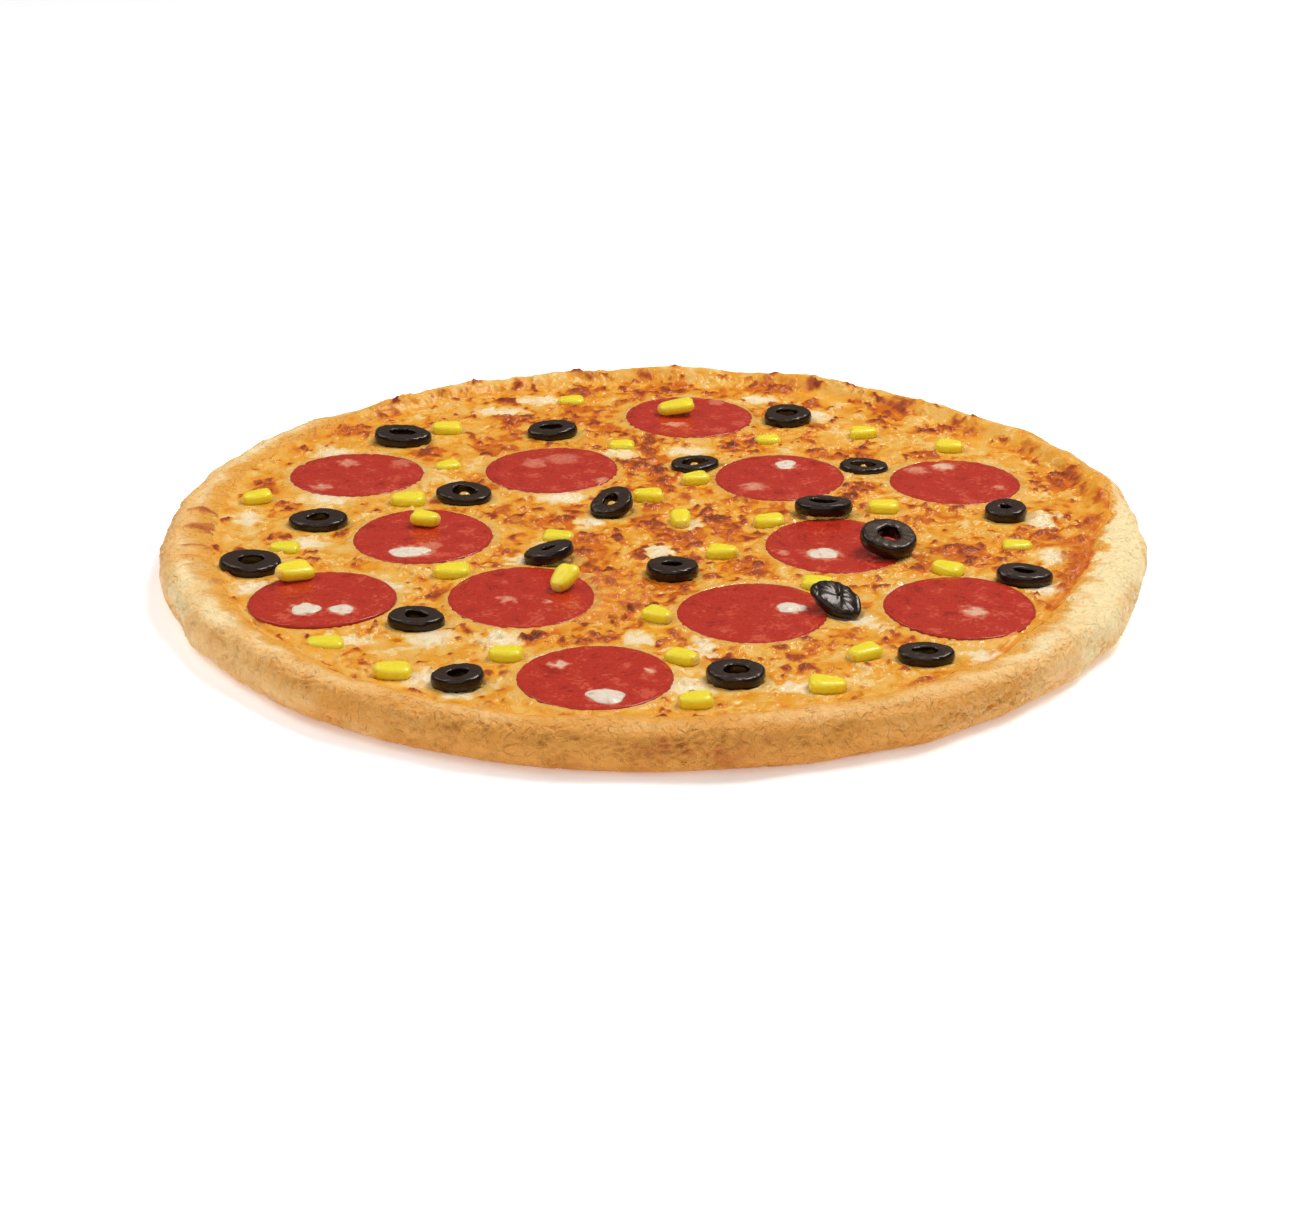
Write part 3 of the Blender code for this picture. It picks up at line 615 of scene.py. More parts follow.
def paintCheese():
    # height, tone, toast, curd, wetness and blush of the cheese: strands laid over each other, each a bent
    # oval with its own tone, sqrt((2a/length)^4 + (2b/width)^2) < 1; then brown bubbles, white patches and
    # the lift round every topping
    look = cheeseLook
    draw = np.random.default_rng(look["seed"])
    wanderX = canvasX + 0.9 * canvasNoise(5, 41) + 0.35 * canvasNoise(1.8, 42)
    wanderY = canvasY + 0.9 * canvasNoise(5, 43) + 0.35 * canvasNoise(1.8, 44)
    heat = 0.35 * canvasNoise(30, 45)
    for x, y, radius, amount in heatSpots:
        heat += amount * np.exp(-(((canvasX - x) ** 2 + (canvasY - y) ** 2) / radius ** 2))
    height = 0.12 * canvasNoise(16, 46)
    tone = 0.57 + 0.16 * heat + 0.10 * canvasNoise(9, 47)
    for _ in range(look["strands"]):
        angle, radius = draw.uniform(0, 2 * np.pi), look["reach"] * math.sqrt(draw.uniform(0, 1))
        x, y = radius * math.cos(angle), radius * math.sin(angle)
        length, width = draw.uniform(*look["strandLength"]), draw.uniform(*look["strandWidth"])
        turn, bend = draw.uniform(0, np.pi), draw.uniform(*look["strandBend"])
        lift, own = draw.uniform(*look["strandLift"]), draw.choice(look["tones"], p=look["toneShares"])
        window = canvasWindow(x, y, length / 2 + 3)
        dx, dy = wanderX[window] - x, wanderY[window] - y
        along = dx * math.cos(turn) + dy * math.sin(turn)
        across = dy * math.cos(turn) - dx * math.sin(turn) + bend * along * along / length
        away = np.sqrt((2 * along / length) ** 4 + (2 * across / width) ** 2)
        cover = smoothStep(1.15, 0.35, away)
        height[window] += (0.45 * height[window] + lift - height[window]) * cover
        own = own + 0.03 + 0.22 * heat[window]
        tone[window] += (own - tone[window]) * cover * look["strandCover"]
    raised = height - softened(height, 4.5)
    blotch = 0.8 * canvasNoise(5.0, 50) + 0.2 * canvasNoise(2.6, 54) + 0.6 * canvasNoise(18, 55)
    toast = 0.75 * smoothStep(1.0, 2.7, blotch + 1.1 * heat + 2.0 * raised)
    height += 0.4 * toast * (1 + 0.3 * canvasNoise(1.8, 56))
    tone += 0.30 * smoothStep(-0.2, 1.5, blotch + 1.1 * heat) - 0.10
    for _ in range(look["bubbles"]):
        angle, radius = draw.uniform(0, 2 * np.pi), look["reach"] * math.sqrt(draw.uniform(0, 1))
        x, y = radius * math.cos(angle), radius * math.sin(angle)
        size = min(draw.gamma(2.6, 0.32) + look["bubbleLeast"], look["bubbleMost"])
        dark = draw.uniform(*look["bubbleDark"])
        window = canvasWindow(x, y, size + 3)
        if (blotch[window] + 1.6 * heat[window]).mean() + draw.normal(0, 0.6) < 0.15:
            continue
        stretchBy, turn = draw.uniform(*look["bubbleStretch"]), draw.uniform(0, np.pi)
        dx, dy = (canvasX + wanderX)[window] / 2 - x, (canvasY + wanderY)[window] / 2 - y
        along = dx * math.cos(turn) + dy * math.sin(turn)
        across = dy * math.cos(turn) - dx * math.sin(turn)
        away = np.sqrt((along / stretchBy) ** 2 + across ** 2) / size
        cover = smoothStep(1.25, 0.5, away)
        height[window] += 0.42 * min(size, 1.4) * smoothStep(1.2, 0.3, away)
        ringed = cover * (1 - 0.6 * smoothStep(0.7, 0.2, away) * draw.uniform(0, 1))
        toast[window] = np.maximum(toast[window], dark * ringed)
        tone[window] += (0.8 - tone[window]) * smoothStep(1.9, 0.8, away) * 0.5
    tone += 0.45 * softened(toast, 1.4)
    curd = np.zeros_like(height)
    for x, y, halfX, halfY in curdPatches:
        window = canvasWindow(x, y, 2 * max(halfX, halfY))
        away = np.hypot((wanderX[window] - x) / halfX, (wanderY[window] - y) / halfY)
        curd[window] = np.maximum(curd[window], look["curdStrength"] * smoothStep(1.6, 0.2, away))
        height[window] += 0.15 * smoothStep(1.2, 0.3, away)
        tone[window] += (0.1 - tone[window]) * smoothStep(1.7, 0.8, away)
        toast[window] *= 1 - 0.9 * smoothStep(1.5, 0.6, away)
    x, y, radius = coveredSlice
    away = np.hypot(wanderX - x, wanderY - y) / radius
    height += 0.9 * smoothStep(1.03, 0.93, away)
    shown = smoothStep(1.02, 0.93, away)
    uneven = canvasNoise(5, 61)
    tone += (0.52 + 0.10 * uneven - tone) * shown * 0.7
    blush = shown * (0.50 + 0.20 * uneven)
    toast = toast * (1 - 0.45 * shown) + 0.45 * np.exp(-(((away - 1.03) / 0.035) ** 2))
    curd *= 1 - shown
    gap = np.full_like(height, 99.0)
    foot = np.zeros_like(height)
    for name in sliceNames + oliveNames + kernelNames:
        centre, _, half = axesOf[name]
        if name not in sliceNames and min(ovalGap(centre[0], centre[1], n) for n in sliceNames) < -3:
            continue
        window = canvasWindow(centre[0], centre[1], half[0] + 8)
        away = ovalGap(canvasX[window], canvasY[window], name) + 0.3 * canvasNoise(3, 49)[window]
        gap[window] = np.minimum(gap[window], away)
        rise, wide = look["feet"][name.split("_")[0]]
        foot[window] = np.maximum(foot[window], rise * np.exp(-((np.maximum(away, 0) / wide) ** 2)))
    outside = smoothStep(0.0, 2.8, gap)
    height = height * outside + foot * smoothStep(-1.3, -0.1, gap) - 0.7 * smoothStep(-0.3, -1.6, gap)
    wet = smoothStep(3.6, 0.8, gap + 1.2 * canvasNoise(9, 57))
    tone += (0.14 - tone) * wet * 0.7
    toast *= smoothStep(-0.5, 1.2, gap) * (1 - 0.75 * wet)
    moist = smoothStep(2.2, 0.3, gap)
    for name, share in holeFill.items():
        centre, _, half = axesOf[name]
        window = canvasWindow(centre[0], centre[1], half[0])
        away = (ovalGap(canvasX[window], canvasY[window], name) + half[0]) / half[0]
        middle = smoothStep(0.42, 0.2, away)
        top = centre[2] - half[2] + 2 * half[2] * share - look["level"]
        height[window] += (top - height[window]) * middle
        tone[window] += (0.25 - tone[window]) * middle
        toast[window] *= 1 - middle
    return height, tone, toast, curd, moist, blush


cheeseHeight, *cheeseFields = paintCheese()
print("stage: cheese canvas")

# How golden the cheese is where it climbs the rim, at clock angles in degrees
rimTone = (
    (-180, 0.34), (-90, 0.38), (-20, 0.62), (5, 0.60), (18, 0.34), (45, 0.30), (62, 0.26), (80, 0.32),
    (98, 0.32), (108, 0.04), (118, 0.08), (128, 0.25), (140, 0.65), (147, 0.65), (156, 0.25), (170, 0.32),
)


def cheeseQuarter(top, normals, number, material):
    # a quarter of the sheet with a skirt and a middle point below to close it; its normals are those of the
    # whole sheet, so that no seam shows between quarters
    n = top.shape[0]
    index = np.arange(n * n).reshape(n, n)
    border = np.concatenate([index[0, :-1], index[:-1, -1], index[-1, :0:-1], index[:0:-1, 0]])
    quads = np.stack([index[:-1, :-1], index[:-1, 1:], index[1:, 1:], index[1:, :-1]], -1).reshape(-1, 4)
    skirt = top.reshape(n * n, -1)[border].copy()
    skirt[:, :2] *= 0.995
    skirt[:, 2] -= cheeseLook["skirt"]
    under = skirt.copy()
    under[:, :2] *= 0.9
    under[:, 2] = cheeseLook["under"]
    middle = under.mean(0, keepdims=True)
    points = np.concatenate([top.reshape(n * n, -1), skirt, under, middle])
    ringA, ringB = n * n + np.arange(len(border)), n * n + len(border) + np.arange(len(border))
    walls = [np.stack([a, np.roll(a, 1), np.roll(b, 1), b], -1) for a, b in ((border, ringA), (ringA, ringB))]
    fan = np.stack([ringB, np.roll(ringB, 1), np.full(len(border), len(points) - 1)], -1)
    patch = (points, np.concatenate([quads, *walls]), fan)
    channels = ("tone", "toast", "curd", "wet", "blush")
    piece = makePiece("cheese_melted_%d" % number, [patch], channels, material, "cheese", "cheese")
    outward = skirt[:, :3] * (1, 1, 0) / np.hypot(skirt[:, 0], skirt[:, 1]).clip(1)[:, None]
    down = np.tile((0.0, 0.0, -1.0), (len(border) + 1, 1))
    piece.data.normals_split_custom_set_from_vertices(np.concatenate([normals.reshape(-1, 3), outward, down]))


def makeCheese():
    # a square grid carried to a disc, x = u sqrt(1 - v^2/2), y = v sqrt(1 - u^2/2), raised by the canvas and
    # kept above the dough's slope, then cut in quarters
    look = cheeseLook
    n = 2 * look["cells"] - 1
    u, v = np.meshgrid(np.linspace(-1, 1, n), np.linspace(-1, 1, n))
    x, y = u * np.sqrt(1 - v * v / 2), v * np.sqrt(1 - u * u / 2)
    share, angle = np.hypot(x, y), np.arctan2(y, x)
    radius = share * edgeRadius(angle)
    radius = radius * stretchAt(angle, radius)
    x, y = radius * np.cos(angle), radius * np.sin(angle)
    relief = canvasAt(cheeseHeight, x, y)
    edgeGap = (1 - share) * look["edge"]
    rimSide = smoothStep(9, 2, edgeGap)
    thin = np.maximum(relief, -0.3) * (1 - 0.5 * rimSide)
    film = (look["film"] + thin) * smoothStep(-0.2, 3.0, edgeGap) + 0.14 - 0.9 * smoothStep(0.7, 0.0, edgeGap)
    flat = look["level"] + relief - 4.5 * smoothStep(3.4, 0, edgeGap)
    z = smoothMax(flat, crustTopAt(x, y) + film, 0.15 + 1.3 * smoothStep(0, 2.5, edgeGap))
    tone, toast, curd, moist, blush = (canvasAt(field, x, y) for field in cheeseFields)
    crisp = 0.5 + 0.5 * noiseAt(x, y, 5.5, 53)
    golden = atClock(rimTone, angle) + 0.12 * noiseAt(x, y, 8, 58)
    tone = tone + (golden - tone) * 0.78 * rimSide
    moist = moist - 0.8 * rimSide
    toast = toast * (1 - 0.75 * rimSide) + 0.25 * rimSide * smoothStep(0.85, 1.6, crisp)
    scorch = np.exp(-(((np.degrees(angle) - look["scorchAngle"]) / look["scorchWidth"]) ** 2))
    scorch = scorch * smoothStep(11, 4, edgeGap)
    tone = tone + (0.85 - tone) * 0.9 * scorch
    toast = np.maximum(toast, scorch * (0.12 + 0.25 * crisp))
    for clockAngle, away, half, out, dark in edgeSpots:
        turned = (np.degrees(angle) - clockAngle + 180) % 360 - 180
        arc = np.radians(turned) * radius + 0.35 * noiseAt(x, y, 3, 59)
        spot = np.hypot(arc / half, (edgeGap - away + 0.3 * noiseAt(x, y, 3, 60)) / (0.62 * out)) / 0.72
        toast = np.maximum(toast, dark * smoothStep(1.2, 0.35, spot))
        tone = tone + (0.8 - tone) * 0.6 * smoothStep(1.7, 0.9, spot)
        z = z + look["lump"] * dark * smoothStep(1.25, 0.1, spot)
    top = np.stack([x, y, z, tone, toast, curd, moist, blush], -1)
    across, along = np.gradient(top[..., :3], axis=(0, 1))
    normals = np.cross(along, across)
    normals /= np.linalg.norm(normals, axis=-1, keepdims=True).clip(1e-9)
    material = paintedMaterial("baked_mozzarella", cheeseFinish)
    halves = slice(0, look["cells"]), slice(look["cells"] - 1, n)
    for number, quarter in enumerate([(rows, columns) for rows in halves for columns in halves], 1):
        cheeseQuarter(top[quarter], normals[quarter], number, material)


makeCheese()
print("stage: cheese")

# Tomato sauce: a thin layer that shows as an orange-red line where the cheese stops short of the dough
sauceLook = {
    "inside": 1.2, "thick": 0.25, "level": 6.3, "under": 5.3, "slopeStart": 116, "steps": 420, "rings": 40,
}
# Cooked tomato sauce: a smooth, moist orange-red paste with a soft shine
sauceFinish = {
    "layers": (("tone", 0, 1, "#D2652A", 0), ("tone", 0.4, 0.9, "#B24418", 0.5)),
    "grain": (2.5, 0.9), "mottle": 0.1, "roughness": (0.25, 0.5), "bumps": ((1.2, 0.12, 0),),
    "shader": {"IOR": 1.42, "Coat Weight": 0.3, "Coat Roughness": 0.15},
}


def makeSauce():
    # rings from the middle to a wavy edge: level over the floor, then a film on the slope; the underside
    # follows a little lower
    look = sauceLook
    angle = circleAngles(look["steps"])
    wavy = edgeRadius(angle) - look["inside"] + 0.5 * np.sin(5 * angle + 1) + 0.4 * np.sin(23 * angle + 2)
    share = np.concatenate([[0.05, 0.4, 0.8], np.linspace(0.88, 1, look["rings"])])
    radius = share[:, None] * (wavy * stretchAt(angle, wavy))[None, :]
    x, y = radius * np.cos(angle), radius * np.sin(angle)
    dough = np.where(radius > look["slopeStart"], crustTopAt(x, y), crustLook["floor"])
    film = look["thick"] * smoothStep(1.001, 0.985, share)[:, None]
    top = smoothMax(np.full_like(dough, look["level"]), dough + film, 0.3)
    low = np.minimum(top - 0.2, np.maximum(dough - 0.3, look["under"]))
    tone = 0.5 + 0.3 * noiseAt(x, y, 6, 61)
    rings = np.concatenate([np.stack([x, y, top, tone], -1), np.stack([x, y, low, tone], -1)[::-1]])
    material = paintedMaterial("cooked_tomato_sauce", sauceFinish)
    makePiece("sauce_layer", [ringPatch(rings)], ("tone",), material, "tomato_sauce", "sauce")


makeSauce()
print("stage: sauce")

# Salami: thin cooked slices with a fine mottle, paler fat and films of cheese; "bevel" has, for each ring
# round the edge and underneath, its share of the radius and its drop in mm
sliceLook = {
    "steps": 150, "thick": 1.5, "cupShare": 0.5,
    "bevel": ((1.0, 0.35), (1.003, 0.75), (0.995, 1.15), (0.96, 1.45), (0.6, 1.5), (0.1, 1.5)),
}
# Cured, cooked salami: deep red lean with fine paler specks of fat, under a thin film of hot oil
salamiFinish = {
    "layers": (
        ("film", 0, 1, "#B92D19", 0),
        ("fleck", 0.62, 1.0, "#CF5038", 0.6),
        ("fleck", 0.30, 0.0, "#A02213", 0.6),
        ("edge", 0.35, 1.1, "#B02A18", 0.3),
        ("film", 0.15, 0.75, "#D6765A", 0.55),
        ("film", 0.60, 1.05, "#E8C6A6", 0.5),
    ),
    "grain": (1.3, 0.5), "mottle": 0.13, "roughness": (0.24, 0.40),
    "bumps": ((1.4, 0.08, 0.5), (0.6, 0.04, 0)),
    "shader": {"IOR": 1.40, "Specular Tint": (1.0, 0.75, 0.65, 1.0), "Coat Weight": 0.2,
               "Coat Roughness": 0.1, "Subsurface Weight": 0.06, "Subsurface Radius": (1.0, 0.2, 0.1),
               "Subsurface Scale": 0.001},
}
# Pale spots on the slices, from each slice's middle: slice, x, y, half width, half depth, strength
sliceSpots = (
    (1, -3.5, 9.7, 3.9, 3.6, 0.7), (1, 13.0, 9.7, 4.2, 3.6, 0.55), (1, -9.1, -10.7, 3.6, 3.6, 0.75),
    (2, -2.0, -12.0, 7.0, 5.0, 1.0), (2, 3.0, -7.5, 4.0, 3.0, 0.6), (3, -3.7, -7.6, 4.4, 4.6, 1.0),
    (3, 5.9, -7.6, 4.0, 4.0, 1.0), (4, -3.9, -2.5, 2.8, 3.0, 0.75), (4, 7.1, -3.9, 1.3, 1.6, 0.8),
    (5, 3.0, -11.8, 4.9, 4.6, 1.0), (5, -9.2, 7.3, 3.3, 2.8, 0.9), (5, 14.1, 3.6, 1.5, 1.8, 0.8),
    (6, -5.4, 5.6, 4.8, 4.6, 0.62), (6, 3.0, 9.4, 6.6, 5.6, 0.55), (6, 15.4, -9.4, 2.7, 3.2, 0.7),
    (7, -4.3, -7.0, 4.6, 3.0, 0.75), (7, 8.7, 13.4, 3.2, 3.0, 0.6), (8, 2.1, 10.5, 4.0, 4.8, 0.95),
    (8, -8.4, -8.2, 4.3, 4.6, 0.72), (9, -10.3, 9.4, 4.2, 4.2, 0.7), (9, -2.2, 12.4, 4.5, 3.8, 0.9),
    (9, 12.9, -5.4, 2.1, 2.6, 0.7), (10, -3.8, -6.7, 6.1, 5.2, 0.95), (10, -14.9, -5.9, 2.2, 2.4, 0.75),
    (11, 10.4, 2.6, 4.5, 3.4, 1.0), (12, 3.8, -3.7, 4.0, 4.6, 0.85),
)


def sliceTop(centre, fit, low, cup, x, y):
    # height of a slice's upper face: flat in the middle and lifted by share^4 towards its edge
    angle = np.arctan2(y - centre[1], x - centre[0])
    share = np.hypot(x - centre[0], y - centre[1]) / waveAt(fit, angle)
    return low + sliceLook["thick"] + cup * share ** 4 * (0.6 + 0.4 * np.sin(2 * angle + centre[0]))


# Each slice's middle, outline, lowest point and lift of its edge
sliceShapes = {}
for name in sliceNames:
    points = nodePoints(name)
    low, high = points.min(0), points.max(0)
    centre = (low + high) / 2
    turn = np.arctan2(points[:, 1] - centre[1], points[:, 0] - centre[0])
    far = np.hypot(points[:, 0] - centre[0], points[:, 1] - centre[1])
    rim = far > 0.828 * far.max()
    lifted = sliceLook["cupShare"] * (high[2] - low[2] - sliceLook["thick"])
    sliceShapes[name] = (centre, waveFit(turn[rim], far[rim], 3), low[2], lifted)


def makeSlices():
    # rings from the middle out over the top, round a bevelled edge and back underneath
    material = paintedMaterial("cooked_salami", salamiFinish)
    angle = circleAngles(sliceLook["steps"])
    for number, name in enumerate(sliceNames, 1):
        centre, fit, low, cup = sliceShapes[name]
        radius = waveAt(fit, angle)
        share = np.concatenate([np.linspace(0.03, 0.9, 24), np.linspace(0.915, 0.985, 8)])[:, None]
        x = centre[0] + share * radius * np.cos(angle)
        y = centre[1] + share * radius * np.sin(angle)
        z = sliceTop(centre, fit, low, cup, x, y)
        z = z + 0.05 * noiseAt(x, y, 4.0, 70 + number) + 0.015 * noiseAt(x, y, 1.6, 90 + number)
        z = z - 0.10 * smoothStep(0.9, 0.985, share)
        film = np.zeros_like(z)
        for which, dx, dy, halfX, halfY, strength in sliceSpots:
            if which == number:
                wx = 0.5 * noiseAt(x, y, 3.5, 101)
                away = np.hypot((x - centre[0] - dx + wx) / halfX, (y - centre[1] - dy - wx) / halfY)
                film = np.maximum(film, strength * smoothStep(1.3, 0.45, away))
                z = z + 0.22 * strength * smoothStep(1.2, 0.5, away)
        fleck = 0.5 + 0.12 * noiseAt(x, y, 2.4, 102) + 0.13 * noiseAt(x, y, 1.3, 103)
        # plus an even tilt, the same on every slice, lighter towards the front right
        fleck = fleck + 0.16 * noiseAt(x, y, 9, 104) + 0.006 * (x - centre[0] - y + centre[1])
        edge = smoothStep(0.90, 0.99, share) + 0 * z
        top = np.stack([x, y, z, film, fleck, edge], -1)
        rings = [top]
        for share2, drop in sliceLook["bevel"]:
            ring = top[-1:].copy()
            ring[..., 0] = centre[0] + share2 * radius * np.cos(angle)
            ring[..., 1] = centre[1] + share2 * radius * np.sin(angle)
            ring[..., 2] = np.maximum(top[-1:, :, 2] - drop, low) if share2 > 0.9 else low
            ring[..., 3], ring[..., 5] = 0, 1
            rings.append(ring)
        makePiece(name.replace("salami", "salami_slice"), [ringPatch(np.concatenate(rings))],
                  ("film", "fleck", "edge"), material, "salami", name)


makeSlices()
print("stage: salami")

# White curds that fell on the slices: slice, x and y from its middle, half width, half depth, height
curdLook = {"steps": 40, "rings": 12, "lift": 0.12, "sink": 0.2}
sliceCurds = (
    (2, -3.0, -12.6, 5.6, 3.6, 0.7), (3, -3.7, -7.6, 3.6, 4.0, 0.8), (3, 5.9, -7.6, 3.0, 3.2, 0.6),
    (5, 3.0, -11.8, 4.7, 4.4, 0.9), (11, 10.4, 2.6, 4.3, 3.0, 0.8), (10, -3.8, -6.7, 4.6, 3.4, 0.45),
    (8, 2.1, 10.5, 3.0, 3.6, 0.4),
)
# Melted white curd: cream with light soaking into it, a soft shine and a thin edge stained by the slice
curdFinish = {
    "layers": (("tone", 0, 1, "#E9D9C4", 0), ("tone", 0.40, 0.9, "#DDAE90", 0.4)),
    "grain": (1.6, 0.6), "mottle": 0.04, "roughness": (0.3, 0.5), "bumps": ((1.2, 0.06, 0),),
    "shader": {"IOR": 1.45, "Coat Weight": 0.25, "Coat Roughness": 0.2,
               "Subsurface Weight": 0.25, "Subsurface Radius": (1.0, 0.7, 0.5), "Subsurface Scale": 0.0015},
}


def makeCurds():
    # low domes on the slices: height h sqrt(1 - s^2) over a wavy oval, closed below by the same oval
    angle = circleAngles(curdLook["steps"])
    patches = []
    for number, (which, dx, dy, halfX, halfY, high) in enumerate(sliceCurds):
        centre, fit, low, cup = sliceShapes[sliceNames[which - 1]]
        wavy = 1 + 0.10 * np.sin(2 * angle + number) + 0.08 * np.sin(3 * angle + 2 * number)
        wavy = wavy + 0.05 * np.sin(5 * angle)
        share = np.sin(np.linspace(0.05, 1, curdLook["rings"]) * np.pi / 2)[:, None]
        x = centre[0] + dx + share * halfX * wavy * np.cos(angle)
        y = centre[1] + dy + share * halfY * wavy * np.sin(angle)
        base = sliceTop(centre, fit, low, cup, x, y)
        dome = high * np.sqrt(1 - share ** 2 * 0.999) ** 1.2 * (1 + 0.15 * noiseAt(x, y, 3, 111))
        tone = 0.25 + 0.2 * noiseAt(x, y, 3, 112) + 0.3 * share ** 4
        top = np.stack([x, y, base + curdLook["lift"] + dome, tone], -1)
        under = np.stack([x, y, base - curdLook["sink"], tone], -1)[::-1]
        patches.append(ringPatch(np.concatenate([top, under])))
    makePiece("salami_curds", patches, ("tone",), paintedMaterial("melted_curd", curdFinish), "cheese")


makeCurds()

# Olive rings: sliced pitted black olives; "above" is the most that one may rise over its solid in mm
oliveLook = {
    "steps": 84, "around": 40, "hole": 0.40, "square": 6.0, "thicker": 1.08, "lift": 0.25, "above": 0.45,
    "pleat": 0.16, "endTone": 0.45,
}
# Holes, as a share of the ring's width, where they aren't the usual size
oliveHoles = {
    "olive_04": 0.46, "olive_06": 0.36, "olive_07": 0.50, "olive_08": 0.46, "olive_09": 0.44,
    "olive_10": 0.26, "olive_13": 0.26, "olive_14": 0.34, "olive_15": 0.34, "olive_17": 0.03,
}
# End pieces: domed and pleated, without a cut face
foldedOlives = ("olive_17",)
# Ripe black olive out of brine: smooth near-black skin with sharp wet glints, duller and browner where cut,
# and painted shade, a darker wall, inside the hole
oliveFinish = {
    "layers": (
        ("cut", 0, 1, "#180D09", 0),
        ("cut", 0.35, 0.75, "#2C1C12", 0.25),
        # painted shade: darker on the wall of the hole
        ("holeShade", 0.4, 0.9, "#140B07", 0.2),
    ),
    "grain": (1.8, 0.5), "mottle": 0.22, "roughness": (0.16, 0.30), "dry": (("cut", 0.20),),
    "bumps": ((2.0, 0.08, 0.5), (0.6, 0.03, 0)),
    "shader": {"IOR": 1.40, "Specular Tint": (1.0, 0.80, 0.62, 1.0), "Coat Weight": 0.25,
               "Coat Roughness": 0.05},
}


def makeOlives():
    # a ring whose cross-section is a superellipse, |r/a|^n + |z/b|^n = 1, set on the solid's own axes; an end
    # piece is domed by 1.1 - 0.6 d^2 and pleated by noise drawn out along it
    material = paintedMaterial("black_olive_flesh", oliveFinish)
    look = oliveLook
    for number, name in enumerate(oliveNames, 1):
        centre, axes, half = axesOf[name]
        turn = circleAngles(look["steps"])
        loop = circleAngles(look["around"])[:, None]
        c, s = np.cos(loop), np.sin(loop)
        power = 2 / look["square"]
        size = oliveHoles.get(name, look["hole"])
        hole = size * (1 + 0.10 * np.sin(2 * turn + number) + 0.07 * np.sin(3 * turn + 2.1 * number))
        outer = 1 + 0.02 * np.sin(3 * turn + number) + 0.012 * np.sin(5 * turn + 1.3 * number)
        middle, width = (outer + hole) / 2, (outer - hole) / 2
        side = np.sign(c) * np.abs(c) ** power
        rise = np.sign(s) * np.abs(s) ** power
        radial = middle + width * side - 0.07 * rise ** 2 * smoothStep(0, 1, side)
        x, y = half[0] * radial * np.cos(turn), half[1] * radial * np.sin(turn)
        z = half[2] * look["thicker"] * rise * (1 + 0.03 * np.sin(2 * turn + number))
        z = z + 0.05 * noiseAt(x + 3 * s, y, 2.5, 120 + number)
        cut = smoothStep(0.80, 0.97, np.abs(rise)) + 0 * radial
        if name in foldedOlives:
            dome = 1.1 - 0.6 * (np.hypot(x, y) / half[0]) ** 2
            z = z * dome + look["pleat"] * noiseAt(x + 0.5 * y, 0.15 * y, 2.6, 140)
            cut = np.full_like(radial, look["endTone"])
        place = centre + np.stack([x, y, z], -1) @ axes
        place[..., 2] += min(look["lift"], nodePoints(name)[:, 2].max() + look["above"] - place[..., 2].max())
        # painted shade: darker on the inner wall of the hole
        holeShade = smoothStep(-0.6, -0.95, side) + 0 * radial
        rings = np.concatenate([place, cut[..., None], holeShade[..., None]], -1)
        patch = ringPatch(rings, joined=True)
        makePiece(name.replace("olive", "olive_ring"), [patch], ("cut", "holeShade"), material, "olive", name)


makeOlives()
print("stage: olives")

# Sweetcorn: blunt wedges with a dented crown and a pale tip; sunk kernels lie at "sunk" mm
cornLook = {
    "steps": 48, "rings": 30, "wider": 1.20, "thicker": 1.12, "widest": 1.12, "square": 0.74,
    "sunk": 9.9, "sunkWidth": 0.33, "sunkThick": 1.75,
}
# Cooked sweetcorn: taut yellow skin with a wet shine, lit from inside by the light that soaks into it
cornFinish = {
    "layers": (
        ("tipAndShade", 0, 1, "#FFDB30", 0),
        # more orange towards the tip, and as painted shade on the lower half and in the hollow of the upper
        # face
        ("tipAndShade", 0.15, 0.65, "#F8C328", 0.25),
        ("tipAndShade", 0.70, 1.1, "#E8CF7C", 0.25),
    ),
    "grain": (2.2, 0.7), "mottle": 0.05, "roughness": (0.28, 0.42),
    "bumps": ((2.4, 0.06, 0), (0.7, 0.02, 0)),
    "shader": {"IOR": 1.42, "Coat Weight": 0.2, "Coat Roughness": 0.12,
               "Subsurface Weight": 0.8, "Subsurface Radius": (1.0, 0.80, 0.14), "Subsurface Scale": 0.006},
}
# Kernels sunk in the cheese: x, y, length, heading in degrees
sunkKernels = (
    (-103.5, -17.0, 9.0, 0), (-62.3, 48.8, 8.6, 30), (-85.1, -82.6, 10.4, 4), (-26.6, 109.0, 9.0, 10),
    (-9.8, 67.0, 8.6, 0), (-27.0, -8.4, 9.6, 170), (35.3, 72.0, 8.6, 15), (102.3, -15.6, 8.8, 178),
)


